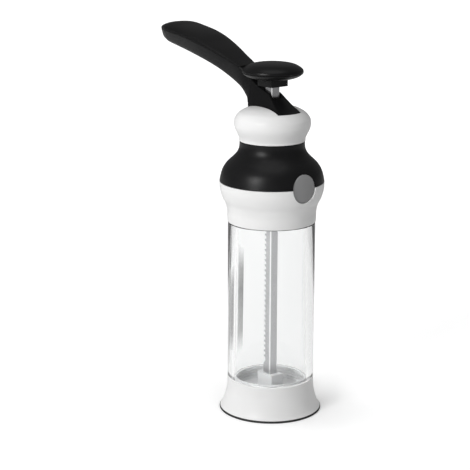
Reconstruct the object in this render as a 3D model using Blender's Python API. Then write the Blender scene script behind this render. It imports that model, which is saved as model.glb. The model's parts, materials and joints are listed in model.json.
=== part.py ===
"""A cookie press with a squeeze lever, a clear barrel and a toothed plunger rod.

Units are metres. +Z is up, the press axis is the Z axis and the table is z = 0. The lever reaches
towards -X and the release button faces +X. Run it in Blender, or with blender --background --python.
"""

from math import asin, cos, degrees, hypot, pi, radians, sin

import bmesh
import bpy
from mathutils import Matrix, Vector

# Clearances and fineness
FIT_GAP = 0.0003
RUN_GAP = 0.0004
CUT_OVERRUN = 0.001
MERGE_DISTANCE = 0.000001
TURN_STEPS = 48
PIN_STEPS = 20
SMOOTH_ANGLE = radians(35)

# Foot ring and base ring
FOOT_OVERHANG = 0.0003
FOOT_HEIGHT = 0.0012
FOOT_WIDTH = 0.0043
TONGUE_WIDTH = 0.0006
TONGUE_HEIGHT = 0.0015
TONGUE_INSET = 0.0026
BASE_TOP = 0.024
BASE_FLARE = 0.0053
BASE_SKIRT_WALL = 0.0042
BASE_LEDGE_Z = 0.0112
BASE_LEDGE_THICKNESS = 0.0016
BASE_LEDGE_WIDTH = 0.0020
BASE_FLARE_SHARES = (
    (0.0, 1.0), (0.02, 0.756), (0.077, 0.618), (0.192, 0.48),
    (0.327, 0.347), (0.5, 0.209), (0.731, 0.076), (1.0, 0.0),
)

# Cookie disc
DISC_THICKNESS = 0.0008
DISC_OVERLAP = 0.002
DISC_PETALS = 12
DISC_HOLE_RADIUS = 0.0024
PETAL_START = 0.0062
PETAL_END = 0.0172
PETAL_WIDTH = 0.0034
PETAL_SHARES = ((0.0, 0.12), (0.3, 0.36), (0.62, 0.5), (0.86, 0.3), (1.0, 0.06))

# Clear barrel, with a bayonet neck at each end
BARREL_RADIUS = 0.0305
BARREL_WALL = 0.0055
BARREL_LENGTH = 0.1126
NECK_STEP = 0.0029
LOWER_NECK = 0.0117
UPPER_NECK = 0.0128
LUG_COUNT = 3
LUG_HEIGHT = 0.0025
LUG_REACH = 0.0014
LUG_ANGLE = radians(18)
LUG_PLAY = radians(2)
TWIST_ANGLE = radians(30)
LUG_INSET = 0.0065
SECTOR_STEP = radians(7.5)

# Head shells
HEAD_BOTTOM = 0.1374
HEAD_LIP = 0.0003
BASE_LIP = 0.0001
HEAD_FLARE = 0.0059
SEAM_Z = 0.1656
WAIST_RADIUS = 0.0226
WAIST_Z = 0.1938
CAP_RADIUS = 0.0265
CAP_BULGE_Z = 0.206
CAP_RISE = 0.0126
SHELL_WALL = 0.0022
LOWER_HOUSING_SHARES = (
    (0.0, 0.0), (0.036, 0.164), (0.054, 0.27), (0.161, 0.378), (0.32, 0.481),
    (0.59, 0.581), (0.786, 0.684), (0.964, 0.834), (1.0, 1.0),
)
GRIP_BAND_SHARES = (
    (0.0, 0.0), (0.051, 0.127), (0.109, 0.231), (0.196, 0.331), (0.333, 0.431), (0.486, 0.51),
    (0.645, 0.581), (0.833, 0.682), (0.949, 0.782), (0.996, 0.882), (1.0, 1.0),
)
CAP_NECK_SHARES = ((0.0, 0.0), (0.03, 0.167), (0.35, 0.4), (0.73, 0.633), (0.95, 0.83))
CAP_DOME_SHARES = (
    (1.0, 0.0), (0.992, 0.206), (0.972, 0.317), (0.94, 0.421), (0.894, 0.532), (0.842, 0.627),
    (0.777, 0.706), (0.69, 0.794), (0.566, 0.881), (0.404, 0.952), (0.19, 0.988), (0.0, 1.0),
)

# Inner frame of the head
PLATE_THICKNESS = 0.0024
PLATE_SEAT = 0.0034
CHEEK_THICKNESS = 0.0028
CHEEK_HALF_LENGTH = 0.014
CHEEK_TOP = 0.2105
SHELF_THICKNESS = 0.003
SPRING_SEAT_DEPTH = 0.004
SPRING_SEAT_HEIGHT = 0.0105
GUIDE_HALF = 0.006
GUIDE_DROP = 0.0045
GUIDE_FLANGE_HALF = 0.009
GUIDE_FLANGE_THICKNESS = 0.0016
UPPER_GUIDE_Z = 0.184
UPPER_GUIDE_HEIGHT = 0.006
UPPER_GUIDE_HALF = 0.010

# Screws of the head
SCREW_RADIUS = 0.0008
SCREW_EDGE = 0.0005
SCREW_HEAD_RADIUS = 0.0016
SCREW_HEAD_HEIGHT = 0.0014
SCREW_LENGTH = 0.0052
SCREW_COUNT = 3
SCREW_START_ANGLE = radians(60)
TIE_RADIUS = 0.0014
TIE_HEAD_RADIUS = 0.0028
TIE_HEAD_HEIGHT = 0.0016
TIE_OFFSET = 0.0171
TIE_TOP = 0.2085
POST_RADIUS = 0.0032
POST_BOTTOM = 0.1975

# Toothed rod
ROD_HALF = 0.0035
ROD_WALL = 0.0013
ROD_BOTTOM = 0.0190
ROD_TOP = 0.2385
TOOTH_PITCH = 0.0036
TOOTH_DEPTH = 0.0014
TOOTH_START = 0.0362
TOOTH_COUNT = 48
BLOCK_LENGTH = 0.011

# Plunger
PLUNGER_HEIGHT = 0.0123
PLUNGER_HUB_HEIGHT = 0.0144
PLUNGER_LIFT = 0.0005
PLUNGER_WALL = 0.0013
PLUNGER_FLOOR_Z = 0.0166
PLUNGER_FLOOR = 0.0024
PLUNGER_HUB_LENGTH = 0.0155
PLUNGER_HUB_WIDTH = 0.0103
PLUNGER_SCREW_RADIUS = 0.0011
PLUNGER_SCREW_HEAD_RADIUS = 0.0026
PLUNGER_SCREW_HEAD_HEIGHT = 0.0012

# Knob on the rod
KNOB_RADIUS = 0.021
KNOB_RIM_Z = 0.2416
KNOB_RISE = 0.0062
KNOB_DEPTH = 0.0057
KNOB_SPLIT_DROP = 0.0009
COLLAR_HALF = 0.0076
COLLAR_BOTTOM = 0.2316
KNOB_UNDERSIDE_SHARES = ((0.3, 1.0), (0.6, 0.87), (0.84, 0.61), (0.96, 0.32))
KNOB_TOP_SHARES = (
    (1.0, 0.03), (0.986, 0.2), (0.94, 0.36), (0.857, 0.56), (0.7, 0.79), (0.4, 0.955), (0.0, 1.0),
)

# Lever
PIVOT_X = 0.0115
PIVOT_Z = 0.2095
PIVOT_RADIUS = 0.0016
PIVOT_DROP = 0.0048
LEVER_TRAVEL = radians(11)
DECK_Z = 0.2143
DECK_DEPTH = 0.0019
NOSE_REACH = 0.0207
HEAD_HALF_WIDTH = 0.0094
HEAD_RISE = 0.0127
ARM_HALF_WIDTH = 0.0098
SLOT_HALF_WIDTH = 0.0044
LEVER_REACH = 0.1215
LEVER_RISE = 0.0518
PAD_HALF_WIDTH = 0.0158
SLOT_BACK = 0.0228
NOSE_STEPS = 12
LEVER_SIDE_SHARES = ((0.8, 0.0), (1.0, 0.18))
LEVER_CROWN_SHARES = (0.5, 0.75)
PAD_SIDE_SHARES = ((1.0, 0.0), (1.0, 0.2), (0.72, 0.8))
HEAD_SHARES = (
    (-1.0, -1.0, 0.03, 0.035, 0.2, 0.17),
    (-0.985, -1.0, 0.035, 0.05, 0.4, 0.36),
    (-0.96, -1.0, 0.045, 0.07, 0.62, 0.6),
    (-0.925, -1.0, 0.055, 0.1, 0.84, 0.82),
    (-0.89, -1.0, 0.07, 0.13, 1.0, 0.97),
    (-0.85, -1.0, 0.1, 0.18, 1.01, 0.96),
    (-0.591, -1.0, 0.362, 0.47, 1.01, 0.85),
    (-0.296, -1.0, 0.732, 0.8, 1.01, 0.69),
    (-0.113, -1.0, 0.961, 1.0, 1.01, 0.6),
    (0.148, -1.0, 1.11, 1.142, 1.01, 0.59),
    (0.394, -1.0, 1.236, 1.268, 1.01, 0.575),
    (0.77, -1.0, 1.55, 1.59, 1.0, 0.59),
    (0.78, 0.9, 1.56, 1.6, 0.98, 0.59),
)
ARM_SHARES = (
    (0.022, 0.036, 0.405, 0.413, 0.487, 0.36),
    (0.037, 0.098, 0.43, 0.438, 0.43, 0.36),
    (0.0693, 0.164, 0.483, 0.49, 0.4, 0.37),
    (0.1028, 0.233, 0.531, 0.531, 0.411, 0.475),
    (0.1604, 0.307, 0.571, 0.571, 0.45, 0.563),
    (0.2354, 0.384, 0.625, 0.625, 0.53, 0.633),
    (0.3115, 0.453, 0.678, 0.678, 0.62, 0.728),
    (0.4165, 0.525, 0.745, 0.745, 0.72, 0.848),
    (0.5203, 0.582, 0.795, 0.795, 0.79, 0.937),
    (0.6344, 0.635, 0.842, 0.842, 0.83, 0.981),
    (0.7486, 0.679, 0.871, 0.871, 0.84, 0.987),
    (0.8432, 0.713, 0.886, 0.886, 0.82, 0.962),
    (0.8904, 0.738, 0.89, 0.89, 0.745, 0.873),
    (0.9331, 0.755, 0.89, 0.89, 0.62, 0.734),
    (0.9666, 0.777, 0.89, 0.89, 0.45, 0.53),
    (0.9873, 0.8, 0.886, 0.886, 0.3, 0.35),
    (1, 0.83, 0.88, 0.88, 0.1, 0.14),
)
PAD_SHARES = (
    (0.1016, 0.531, 0.552, 0.475),
    (0.1604, 0.571, 0.597, 0.563),
    (0.2354, 0.625, 0.66, 0.633),
    (0.3115, 0.678, 0.724, 0.728),
    (0.4165, 0.745, 0.801, 0.848),
    (0.5203, 0.795, 0.877, 0.937),
    (0.6344, 0.842, 0.934, 0.981),
    (0.7486, 0.871, 0.972, 0.987),
    (0.8432, 0.886, 0.997, 0.962),
    (0.8904, 0.89, 0.989, 0.873),
    (0.9331, 0.89, 0.967, 0.734),
    (0.9666, 0.89, 0.945, 0.53),
    (0.9873, 0.886, 0.92, 0.35),
    (1, 0.88, 0.902, 0.14),
)

# Lever's arms inside the cap, and the drive pawl
ARM_BOTTOM_Z = 0.2015
ARM_BACK_X = -0.0155
POCKET_BACK_X = -0.0142
POCKET_FRONT_X = 0.0160
POCKET_TOP_Z = 0.2130
PAWL_X = -0.0095
PAWL_Z = 0.2060
PAWL_PIN_RADIUS = 0.0012
PAWL_HUB_RADIUS = 0.00264
PAWL_HALF_WIDTH = 0.0038
PAWL_TIP_X = -0.0061
PAWL_TIP_Z = 0.2026
PAWL_TAIL = 0.0042
PAWL_THICKNESS = 0.0018

# Release button and catch plate
BUTTON_RADIUS = 0.00975
BUTTON_INSET = 0.0014
BUTTON_THICKNESS = 0.0034
BUTTON_TRAVEL = 0.003
BUTTON_STEM_HALF = 0.0042
BUTTON_STEM_LENGTH = 0.0105
CATCH_THICKNESS = 0.0015
CATCH_HALF_WIDTH = 0.0072
CATCH_TAIL_HALF = 0.0032
CATCH_BACK = 0.0115
CATCH_FRONT = 0.0165
CATCH_TAIL_INSET = 0.0060

# Springs
BUTTON_SPRING_RADIUS = 0.0022
BUTTON_SPRING_WIRE = 0.0003
BUTTON_SPRING_TURNS = 8
BUTTON_SPRING_DROP = 0.0070
PAWL_SPRING_RADIUS = 0.0014
PAWL_SPRING_WIRE = 0.0002
PAWL_SPRING_TURNS = 4
LEVER_SPRING_RADIUS = 0.0029
LEVER_SPRING_WIRE = 0.0004
LEVER_SPRING_TURNS = 6
LEVER_SPRING_PITCH = 0.00123
LEVER_SPRING_LEG = 0.0019
COIL_POINTS = 8

# Places that follow from the sizes above
BARREL_BORE = BARREL_RADIUS - BARREL_WALL
NECK_RADIUS = BARREL_RADIUS - NECK_STEP
BASE_RIM_RADIUS = BARREL_RADIUS + BASE_FLARE
FOOT_RADIUS = BASE_RIM_RADIUS + FOOT_OVERHANG
HEAD_RADIUS = BARREL_RADIUS + HEAD_FLARE
DISC_RADIUS = BARREL_BORE + DISC_OVERLAP
BUTTON_FACE_X = HEAD_RADIUS - BUTTON_INSET
CATCH_TAIL_END = BUTTON_FACE_X - CATCH_TAIL_INSET
DISC_BOTTOM = BASE_LEDGE_Z + FIT_GAP
DISC_TOP = DISC_BOTTOM + DISC_THICKNESS
BARREL_BOTTOM = DISC_TOP + RUN_GAP
BARREL_SHOULDER = BASE_TOP + RUN_GAP
BARREL_TOP_SHOULDER = HEAD_BOTTOM - RUN_GAP
BARREL_TOP = BARREL_TOP_SHOULDER + UPPER_NECK
NECK_SOCKET = NECK_RADIUS + RUN_GAP
LUG_RADIUS = NECK_RADIUS + LUG_REACH
LUG_CHANNEL = LUG_RADIUS + RUN_GAP
PLATE_BOTTOM = BARREL_TOP + SHELL_WALL / 2
PLATE_TOP = PLATE_BOTTOM + PLATE_THICKNESS
PLATE_RADIUS = NECK_SOCKET + PLATE_SEAT - FIT_GAP
CHEEK_INNER = ARM_HALF_WIDTH + RUN_GAP
CHEEK_OUTER = CHEEK_INNER + CHEEK_THICKNESS
CAP_BOTTOM = WAIST_Z + FIT_GAP
ROD_CLEARANCE = ROD_HALF + RUN_GAP
PLUNGER_BOTTOM = DISC_TOP + PLUNGER_LIFT
PLUNGER_RADIUS = BARREL_BORE - FIT_GAP
CATCH_BOTTOM = SEAM_Z + CATCH_THICKNESS / 2
SHELF_TOP = CATCH_BOTTOM - FIT_GAP
TOOTH_CREST_X = -ROD_HALF

COLOURS = {
    "white_plastic": ((0.80, 0.80, 0.79), 0.35, 0.0),
    "black_soft": ((0.012, 0.012, 0.013), 0.55, 0.0),
    "black_gloss": ((0.010, 0.010, 0.011), 0.25, 0.0),
    "clear_plastic": ((0.90, 0.92, 0.93), 0.08, 0.0),
    "frosted_plastic": ((0.62, 0.64, 0.65), 0.45, 0.0),
    "grey_plastic": ((0.21, 0.21, 0.22), 0.45, 0.0),
    "steel": ((0.55, 0.55, 0.56), 0.3, 1.0),
    "spring_steel": ((0.42, 0.42, 0.43), 0.35, 1.0),
    "black_rubber": ((0.015, 0.015, 0.015), 0.8, 0.0),
    "grey_frame": ((0.09, 0.09, 0.095), 0.5, 0.0),
}


def clear_scene():
    """Remove every object that the scene holds."""
    for obj in list(bpy.data.objects):
        bpy.data.objects.remove(obj)


def material_for(node, kind):
    """A Principled material for one node, with the colour and gloss of its kind."""
    colour, roughness, metallic = COLOURS[kind]
    material = bpy.data.materials.new(node)
    material.use_nodes = True
    shader = material.node_tree.nodes["Principled BSDF"]
    shader.inputs["Base Color"].default_value = (*colour, 1.0)
    shader.inputs["Roughness"].default_value = roughness
    shader.inputs["Metallic"].default_value = metallic
    return material


def empty_at(name, place):
    """An empty on a joint's axis, which carries the pieces of one moving body."""
    empty = bpy.data.objects.new(name, None)
    empty.location = place
    bpy.context.scene.collection.objects.link(empty)
    return empty


def add_turned(bm, points, steps=TURN_STEPS):
    """Spin a closed profile of (radius, height) points about Z. A profile may touch the axis."""
    before = set(bm.verts)
    verts = [bm.verts.new((r, 0.0, z)) for r, z in points]
    pairs = zip(verts, verts[1:] + verts[:1])
    edges = [bm.edges.new(pair) for pair in pairs if any(v.co.x > 0 for v in pair)]
    bmesh.ops.spin(
        bm, geom=verts + edges, cent=(0, 0, 0), axis=(0, 0, 1),
        angle=2 * pi, steps=steps, use_merge=True,
    )
    new = [v for v in bm.verts if v not in before]
    bmesh.ops.remove_doubles(bm, verts=new, dist=MERGE_DISTANCE)
    return [v for v in bm.verts if v not in before]


def add_prism(bm, outline, low, high, along="Y"):
    """Extrude an outline. Along Y its points are (x, z), along Z (x, y), and along X (y, z)."""
    places = {
        "X": lambda a, b, depth: (depth, a, b),
        "Y": lambda a, b, depth: (a, depth, b),
        "Z": lambda a, b, depth: (a, b, depth),
    }
    rings = [[bm.verts.new(places[along](a, b, depth)) for a, b in outline] for depth in (low, high)]
    bm.faces.new(rings[0])
    bm.faces.new(rings[1][::-1])
    join_rings(bm, rings)
    return rings[0] + rings[1]


def join_rings(bm, rings):
    """Join each ring of vertices to the next one with quads."""
    for first, second in zip(rings, rings[1:]):
        for i in range(len(first)):
            j = (i + 1) % len(first)
            bm.faces.new((first[i], first[j], second[j], second[i]))


def add_box(bm, low, high):
    """A box from its lowest corner to its highest one."""
    outline = ((low[0], low[1]), (high[0], low[1]), (high[0], high[1]), (low[0], high[1]))
    return add_prism(bm, outline, low[2], high[2], along="Z")


def circle(radius, steps, centre=(0.0, 0.0)):
    """Points on a circle, whose flats stand off the true radius by the same amount all round."""
    turns = [2 * pi * (i + 0.5) / steps for i in range(steps)]
    return [(centre[0] + radius * cos(t), centre[1] + radius * sin(t)) for t in turns]


def add_rod(bm, radius, low, high, centre, along="Y", steps=PIN_STEPS):
    """A round bar along one axis."""
    return add_prism(bm, circle(radius, steps, centre), low, high, along)


def add_sector(bm, inner, outer, low, high, start, end):
    """A piece of a ring between two angles."""
    steps = max(1, round((end - start) / SECTOR_STEP))
    turns = [start + (end - start) * i / steps for i in range(steps + 1)]
    outline = [(outer * cos(t), outer * sin(t)) for t in turns]
    outline += [(inner * cos(t), inner * sin(t)) for t in reversed(turns)]
    return add_prism(bm, outline, low, high, along="Z")


def add_loft(bm, sections):
    """A body through a row of sections with the same number of points, capped at both ends."""
    rings = [[bm.verts.new(point) for point in section] for section in sections]
    join_rings(bm, rings)
    bm.faces.new(rings[0][::-1])
    bm.faces.new(rings[-1])
    return [v for ring in rings for v in ring]


def mesh_object(name, bm):
    """Turn a bmesh into an object of the scene, with its faces pointing out."""
    bmesh.ops.recalc_face_normals(bm, faces=bm.faces)
    mesh = bpy.data.meshes.new(name)
    bm.to_mesh(mesh)
    bm.free()
    obj = bpy.data.objects.new(name, mesh)
    bpy.context.scene.collection.objects.link(obj)
    return obj


def piece(name, bm, kind):
    """A named piece with its own material, smooth where it is round."""
    obj = mesh_object(name, bm)
    obj.data.materials.append(material_for(name, kind))
    obj.data.shade_smooth()
    obj.data.set_sharp_from_angle(angle=SMOOTH_ANGLE)
    return obj


def apply_tool(obj, name, bm, operation):
    """Cut a tool from a piece, or join it on, with a Boolean whose tool doesn't render."""
    tool = mesh_object(name, bm)
    tool.hide_render = True
    tool.display_type = "WIRE"
    modifier = obj.modifiers.new(name, "BOOLEAN")
    modifier.operation = operation
    modifier.solver = "EXACT"
    modifier.use_self = True
    modifier.object = tool
    return tool


def carry(empty, objects):
    """Parent pieces to an empty without moving them."""
    for obj in objects:
        obj.parent = empty
        obj.matrix_parent_inverse = Matrix.Translation(-Vector(empty.location))


def between(shares, start, end):
    """Points from shares of the way between two (radius, height) places."""
    return [
        (start[0] + (end[0] - start[0]) * r, start[1] + (end[1] - start[1]) * z) for r, z in shares
    ]


def inward(points, wall):
    """An open profile moved towards the axis side by a wall, square to its own direction."""
    moved = []
    for i, (r, z) in enumerate(points):
        before = points[max(i - 1, 0)]
        after = points[min(i + 1, len(points) - 1)]
        run = (after[0] - before[0], after[1] - before[1])
        length = hypot(*run)
        moved.append((max(r - wall * run[1] / length, 0.0), z + wall * run[0] / length))
    return moved


def lug_sectors(bm, inner, outer, low, high, spread_before, spread_after, turn=0.0):
    """One sector for each bayonet lug, wider than the lug by the spread on each side."""
    for i in range(LUG_COUNT):
        middle = 2 * pi * i / LUG_COUNT + turn
        add_sector(
            bm, inner, outer, low, high,
            middle - LUG_ANGLE / 2 - spread_before, middle + LUG_ANGLE / 2 + spread_after,
        )


def coil_points(start, direction, side, length, radius, turns):
    """Points along a helix about a straight line, starting and ending at its side."""
    direction = Vector(direction)
    side = Vector(side)
    other = direction.cross(side)
    count = turns * COIL_POINTS
    points = []
    for i in range(count + 1):
        turn = 2 * pi * i / COIL_POINTS
        across = side * (radius * cos(turn)) + other * (radius * sin(turn))
        points.append(Vector(start) + direction * (length * i / count) + across)
    return points


def least_gap(points, radius):
    """The least gap between two places on a wire that are half a turn or more apart along it."""
    away = COIL_POINTS // 2
    places = enumerate(points)
    near = [(a - b).length for i, a in places for b in points[i + away:]]
    return min(near) - 2 * radius


def wire(name, points, radius, kind):
    """One unbroken round wire through the points. It prints the least gap between its turns."""
    curve = bpy.data.curves.new(name, "CURVE")
    curve.dimensions = "3D"
    curve.bevel_depth = radius
    curve.bevel_resolution = 1
    curve.use_fill_caps = True
    spline = curve.splines.new("POLY")
    spline.points.add(len(points) - 1)
    for place, point in zip(spline.points, points):
        place.co = (*point, 1.0)
    obj = bpy.data.objects.new(name, curve)
    bpy.context.scene.collection.objects.link(obj)
    curve.materials.append(material_for(name, kind))
    print(f"{name}: least gap between turns {least_gap(points, radius) * 1000:.2f} mm")
    return obj


def foot_ring():
    """Soft ring under the base, with a tongue that sits in the base ring's groove."""
    inner = FOOT_RADIUS - FOOT_WIDTH
    tongue = FOOT_RADIUS - TONGUE_INSET
    points = (
        (inner, 0.0), (FOOT_RADIUS, 0.0), (FOOT_RADIUS, FOOT_HEIGHT),
        (tongue, FOOT_HEIGHT), (tongue, FOOT_HEIGHT + TONGUE_HEIGHT),
        (tongue - TONGUE_WIDTH, FOOT_HEIGHT + TONGUE_HEIGHT), (tongue - TONGUE_WIDTH, FOOT_HEIGHT),
        (inner, FOOT_HEIGHT),
    )
    bm = bmesh.new()
    add_turned(bm, points)
    return piece("foot_ring", bm, "black_rubber")


def base_ring():
    """Flared white ring that holds the cookie disc on a ledge and locks onto the barrel."""
    bottom = FOOT_HEIGHT + FIT_GAP
    top_radius = BARREL_RADIUS + BASE_LIP
    skirt = BASE_RIM_RADIUS - BASE_SKIRT_WALL
    ledge_inner = BARREL_BORE + RUN_GAP
    recess = DISC_RADIUS + FIT_GAP
    groove_outer = FOOT_RADIUS - TONGUE_INSET + FIT_GAP
    groove_inner = groove_outer - TONGUE_WIDTH - 2 * FIT_GAP
    groove_top = FOOT_HEIGHT + TONGUE_HEIGHT + FIT_GAP
    ledge_bottom = BASE_LEDGE_Z - BASE_LEDGE_THICKNESS
    points = between(BASE_FLARE_SHARES, (top_radius, bottom), (BASE_RIM_RADIUS, BASE_TOP))
    points += [
        (groove_outer, bottom), (groove_outer, groove_top),
        (groove_inner, groove_top), (groove_inner, bottom), (skirt, bottom),
        (skirt - FOOT_HEIGHT, ledge_bottom - BASE_LEDGE_WIDTH),
        (NECK_SOCKET + RUN_GAP, ledge_bottom), (ledge_inner, ledge_bottom),
        (ledge_inner, BASE_LEDGE_Z), (recess, BASE_LEDGE_Z), (recess, DISC_TOP + FIT_GAP),
        (NECK_SOCKET, DISC_TOP + FIT_GAP), (NECK_SOCKET, BASE_TOP),
    ]
    bm = bmesh.new()
    add_turned(bm, points)
    ring = piece("base_ring", bm, "white_plastic")
    lug_low = BASE_TOP - LUG_INSET - LUG_HEIGHT
    slot_top = BASE_TOP - LUG_INSET + RUN_GAP
    cutter = bmesh.new()
    lug_sectors(
        cutter, NECK_SOCKET - CUT_OVERRUN, LUG_CHANNEL, lug_low - RUN_GAP, slot_top,
        LUG_PLAY, LUG_PLAY + TWIST_ANGLE,
    )
    apply_tool(ring, "base_lug_slots", cutter, "DIFFERENCE")
    cutter = bmesh.new()
    lug_sectors(
        cutter, NECK_SOCKET - CUT_OVERRUN, LUG_CHANNEL, slot_top - CUT_OVERRUN,
        BASE_TOP + CUT_OVERRUN, LUG_PLAY, LUG_PLAY, turn=TWIST_ANGLE,
    )
    apply_tool(ring, "base_lug_ways", cutter, "DIFFERENCE")
    return ring


def cookie_disc():
    """Steel disc with a flower of petal holes round a centre hole."""
    bm = bmesh.new()
    add_rod(bm, DISC_RADIUS, DISC_BOTTOM, DISC_TOP, (0.0, 0.0), along="Z", steps=TURN_STEPS)
    disc = piece("cookie_disc", bm, "steel")
    low, high = DISC_BOTTOM - CUT_OVERRUN, DISC_TOP + CUT_OVERRUN
    holes = bmesh.new()
    add_rod(holes, DISC_HOLE_RADIUS, low, high, (0.0, 0.0), along="Z")
    for i in range(DISC_PETALS):
        turn = 2 * pi * i / DISC_PETALS
        side = [
            (PETAL_START + (PETAL_END - PETAL_START) * along, PETAL_WIDTH * across)
            for along, across in PETAL_SHARES
        ]
        petal = side + [(x, -y) for x, y in reversed(side)]
        outline = [(x * cos(turn) - y * sin(turn), x * sin(turn) + y * cos(turn)) for x, y in petal]
        add_prism(holes, outline, low, high, along="Z")
    apply_tool(disc, "disc_holes", holes, "DIFFERENCE")
    return disc


def barrel():
    """Clear tube with a stepped neck and bayonet lugs at each end."""
    points = (
        (NECK_RADIUS, BARREL_BOTTOM), (NECK_RADIUS, BARREL_SHOULDER),
        (BARREL_RADIUS, BARREL_SHOULDER), (BARREL_RADIUS, BARREL_TOP_SHOULDER),
        (NECK_RADIUS, BARREL_TOP_SHOULDER), (NECK_RADIUS, BARREL_TOP),
        (BARREL_BORE, BARREL_TOP), (BARREL_BORE, BARREL_BOTTOM),
    )
    bm = bmesh.new()
    add_turned(bm, points)
    tube = piece("barrel", bm, "clear_plastic")
    root = (BARREL_BORE + NECK_RADIUS) / 2
    lugs = bmesh.new()
    low = BASE_TOP - LUG_INSET - LUG_HEIGHT
    lug_sectors(lugs, root, LUG_RADIUS, low, low + LUG_HEIGHT, 0.0, 0.0)
    low = HEAD_BOTTOM + LUG_INSET
    lug_sectors(lugs, root, LUG_RADIUS, low, low + LUG_HEIGHT, 0.0, 0.0)
    apply_tool(tube, "barrel_lugs", lugs, "UNION")
    return tube


def lower_housing():
    """White shell that locks onto the barrel and carries the inner frame."""
    top = SEAM_Z - FIT_GAP / 2
    outer = between(
        LOWER_HOUSING_SHARES, (BARREL_RADIUS + HEAD_LIP, HEAD_BOTTOM), (HEAD_RADIUS, top)
    )
    seat = PLATE_RADIUS + FIT_GAP
    inner = [
        (r, z) for r, z in inward(outer, SHELL_WALL) if z > PLATE_TOP + FIT_GAP and r > seat
    ]
    inner[-1] = (inner[-1][0], top)
    seat_z = PLATE_BOTTOM - FIT_GAP
    points = outer + inner[::-1] + [
        (seat, PLATE_TOP), (seat, seat_z), (NECK_SOCKET, seat_z), (NECK_SOCKET, HEAD_BOTTOM),
    ]
    bm = bmesh.new()
    add_turned(bm, points)
    shell = piece("lower_housing", bm, "white_plastic")
    low = HEAD_BOTTOM + LUG_INSET
    slot_top = low + LUG_HEIGHT + RUN_GAP
    cutter = bmesh.new()
    lug_sectors(
        cutter, NECK_SOCKET - CUT_OVERRUN, LUG_CHANNEL, low - RUN_GAP, slot_top,
        LUG_PLAY + TWIST_ANGLE, LUG_PLAY,
    )
    apply_tool(shell, "head_lug_slots", cutter, "DIFFERENCE")
    cutter = bmesh.new()
    lug_sectors(
        cutter, NECK_SOCKET - CUT_OVERRUN, LUG_CHANNEL, HEAD_BOTTOM - CUT_OVERRUN,
        low, LUG_PLAY, LUG_PLAY, turn=-TWIST_ANGLE,
    )
    apply_tool(shell, "head_lug_ways", cutter, "DIFFERENCE")
    cutter = bmesh.new()
    for x, y in frame_screw_places():
        add_rod(
            cutter, SCREW_RADIUS + FIT_GAP, PLATE_TOP - SCREW_LENGTH - FIT_GAP,
            PLATE_TOP, (x, y), along="Z", steps=PIN_STEPS // 2,
        )
    apply_tool(shell, "frame_screw_holes", cutter, "DIFFERENCE")
    apply_tool(shell, "button_hole_low", button_hole(), "DIFFERENCE")
    return shell


def frame_screw_places():
    """Where the screws hold the inner frame down on the lower housing."""
    radius = PLATE_RADIUS - SCREW_RADIUS - FIT_GAP - SCREW_EDGE
    turns = [SCREW_START_ANGLE + 2 * pi * i / SCREW_COUNT for i in range(SCREW_COUNT)]
    return [(radius * cos(t), radius * sin(t)) for t in turns]


def button_hole():
    """The round hole through both shells for the release button."""
    cutter = bmesh.new()
    low = BUTTON_FACE_X - BUTTON_THICKNESS - BUTTON_TRAVEL - SHELL_WALL
    add_rod(
        cutter, BUTTON_RADIUS + FIT_GAP, low, HEAD_RADIUS + CUT_OVERRUN,
        (0.0, SEAM_Z), along="X", steps=TURN_STEPS // 2,
    )
    return cutter


def grip_band():
    """Black grip shell between the seam and the waist."""
    bottom = SEAM_Z + FIT_GAP / 2
    outer = between(GRIP_BAND_SHARES, (HEAD_RADIUS, bottom), (WAIST_RADIUS, WAIST_Z))
    inner = inward(outer, SHELL_WALL)
    inner[0] = (inner[0][0], bottom)
    inner[-1] = (inner[-1][0], WAIST_Z)
    bm = bmesh.new()
    add_turned(bm, outer + inner[::-1])
    band = piece("grip_band", bm, "black_soft")
    apply_tool(band, "button_hole_high", button_hole(), "DIFFERENCE")
    return band


def upper_cap():
    """White domed cap with the lever's slot and two posts for the tie screws."""
    neck = between(CAP_NECK_SHARES, (WAIST_RADIUS + HEAD_LIP, CAP_BOTTOM), (CAP_RADIUS, CAP_BULGE_Z))
    dome = between(CAP_DOME_SHARES, (0.0, CAP_BULGE_Z), (CAP_RADIUS, CAP_BULGE_Z + CAP_RISE))
    outer = neck + dome
    inner = inward(outer, SHELL_WALL)
    inner[0] = (inner[0][0], CAP_BOTTOM)
    inner[-1] = (0.0, inner[-1][1])
    bm = bmesh.new()
    add_turned(bm, outer + inner[::-1])
    cap = piece("upper_cap", bm, "white_plastic")
    posts = bmesh.new()
    for side in (-1, 1):
        add_rod(
            posts, POST_RADIUS, POST_BOTTOM, DECK_Z - SHELL_WALL / 2,
            (0.0, side * TIE_OFFSET), along="Z",
        )
    apply_tool(cap, "tie_posts", posts, "UNION")
    holes = bmesh.new()
    for side in (-1, 1):
        add_rod(
            holes, TIE_RADIUS + FIT_GAP, POST_BOTTOM - CUT_OVERRUN, TIE_TOP + FIT_GAP,
            (0.0, side * TIE_OFFSET), along="Z",
        )
    apply_tool(cap, "tie_holes", holes, "DIFFERENCE")
    slot = bmesh.new()
    half = ARM_HALF_WIDTH + RUN_GAP
    front = NOSE_REACH + RUN_GAP
    corner = asin(half / front)
    turns = [corner * (2 * i / NOSE_STEPS - 1) for i in range(NOSE_STEPS + 1)]
    outline = [(-SLOT_BACK, half), (-SLOT_BACK, -half)]
    outline += [(front * cos(t), front * sin(t)) for t in turns]
    add_prism(slot, outline, CAP_BULGE_Z, CAP_BULGE_Z + CAP_RISE + CUT_OVERRUN, along="Z")
    apply_tool(cap, "lever_slot", slot, "DIFFERENCE")
    return cap


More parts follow.
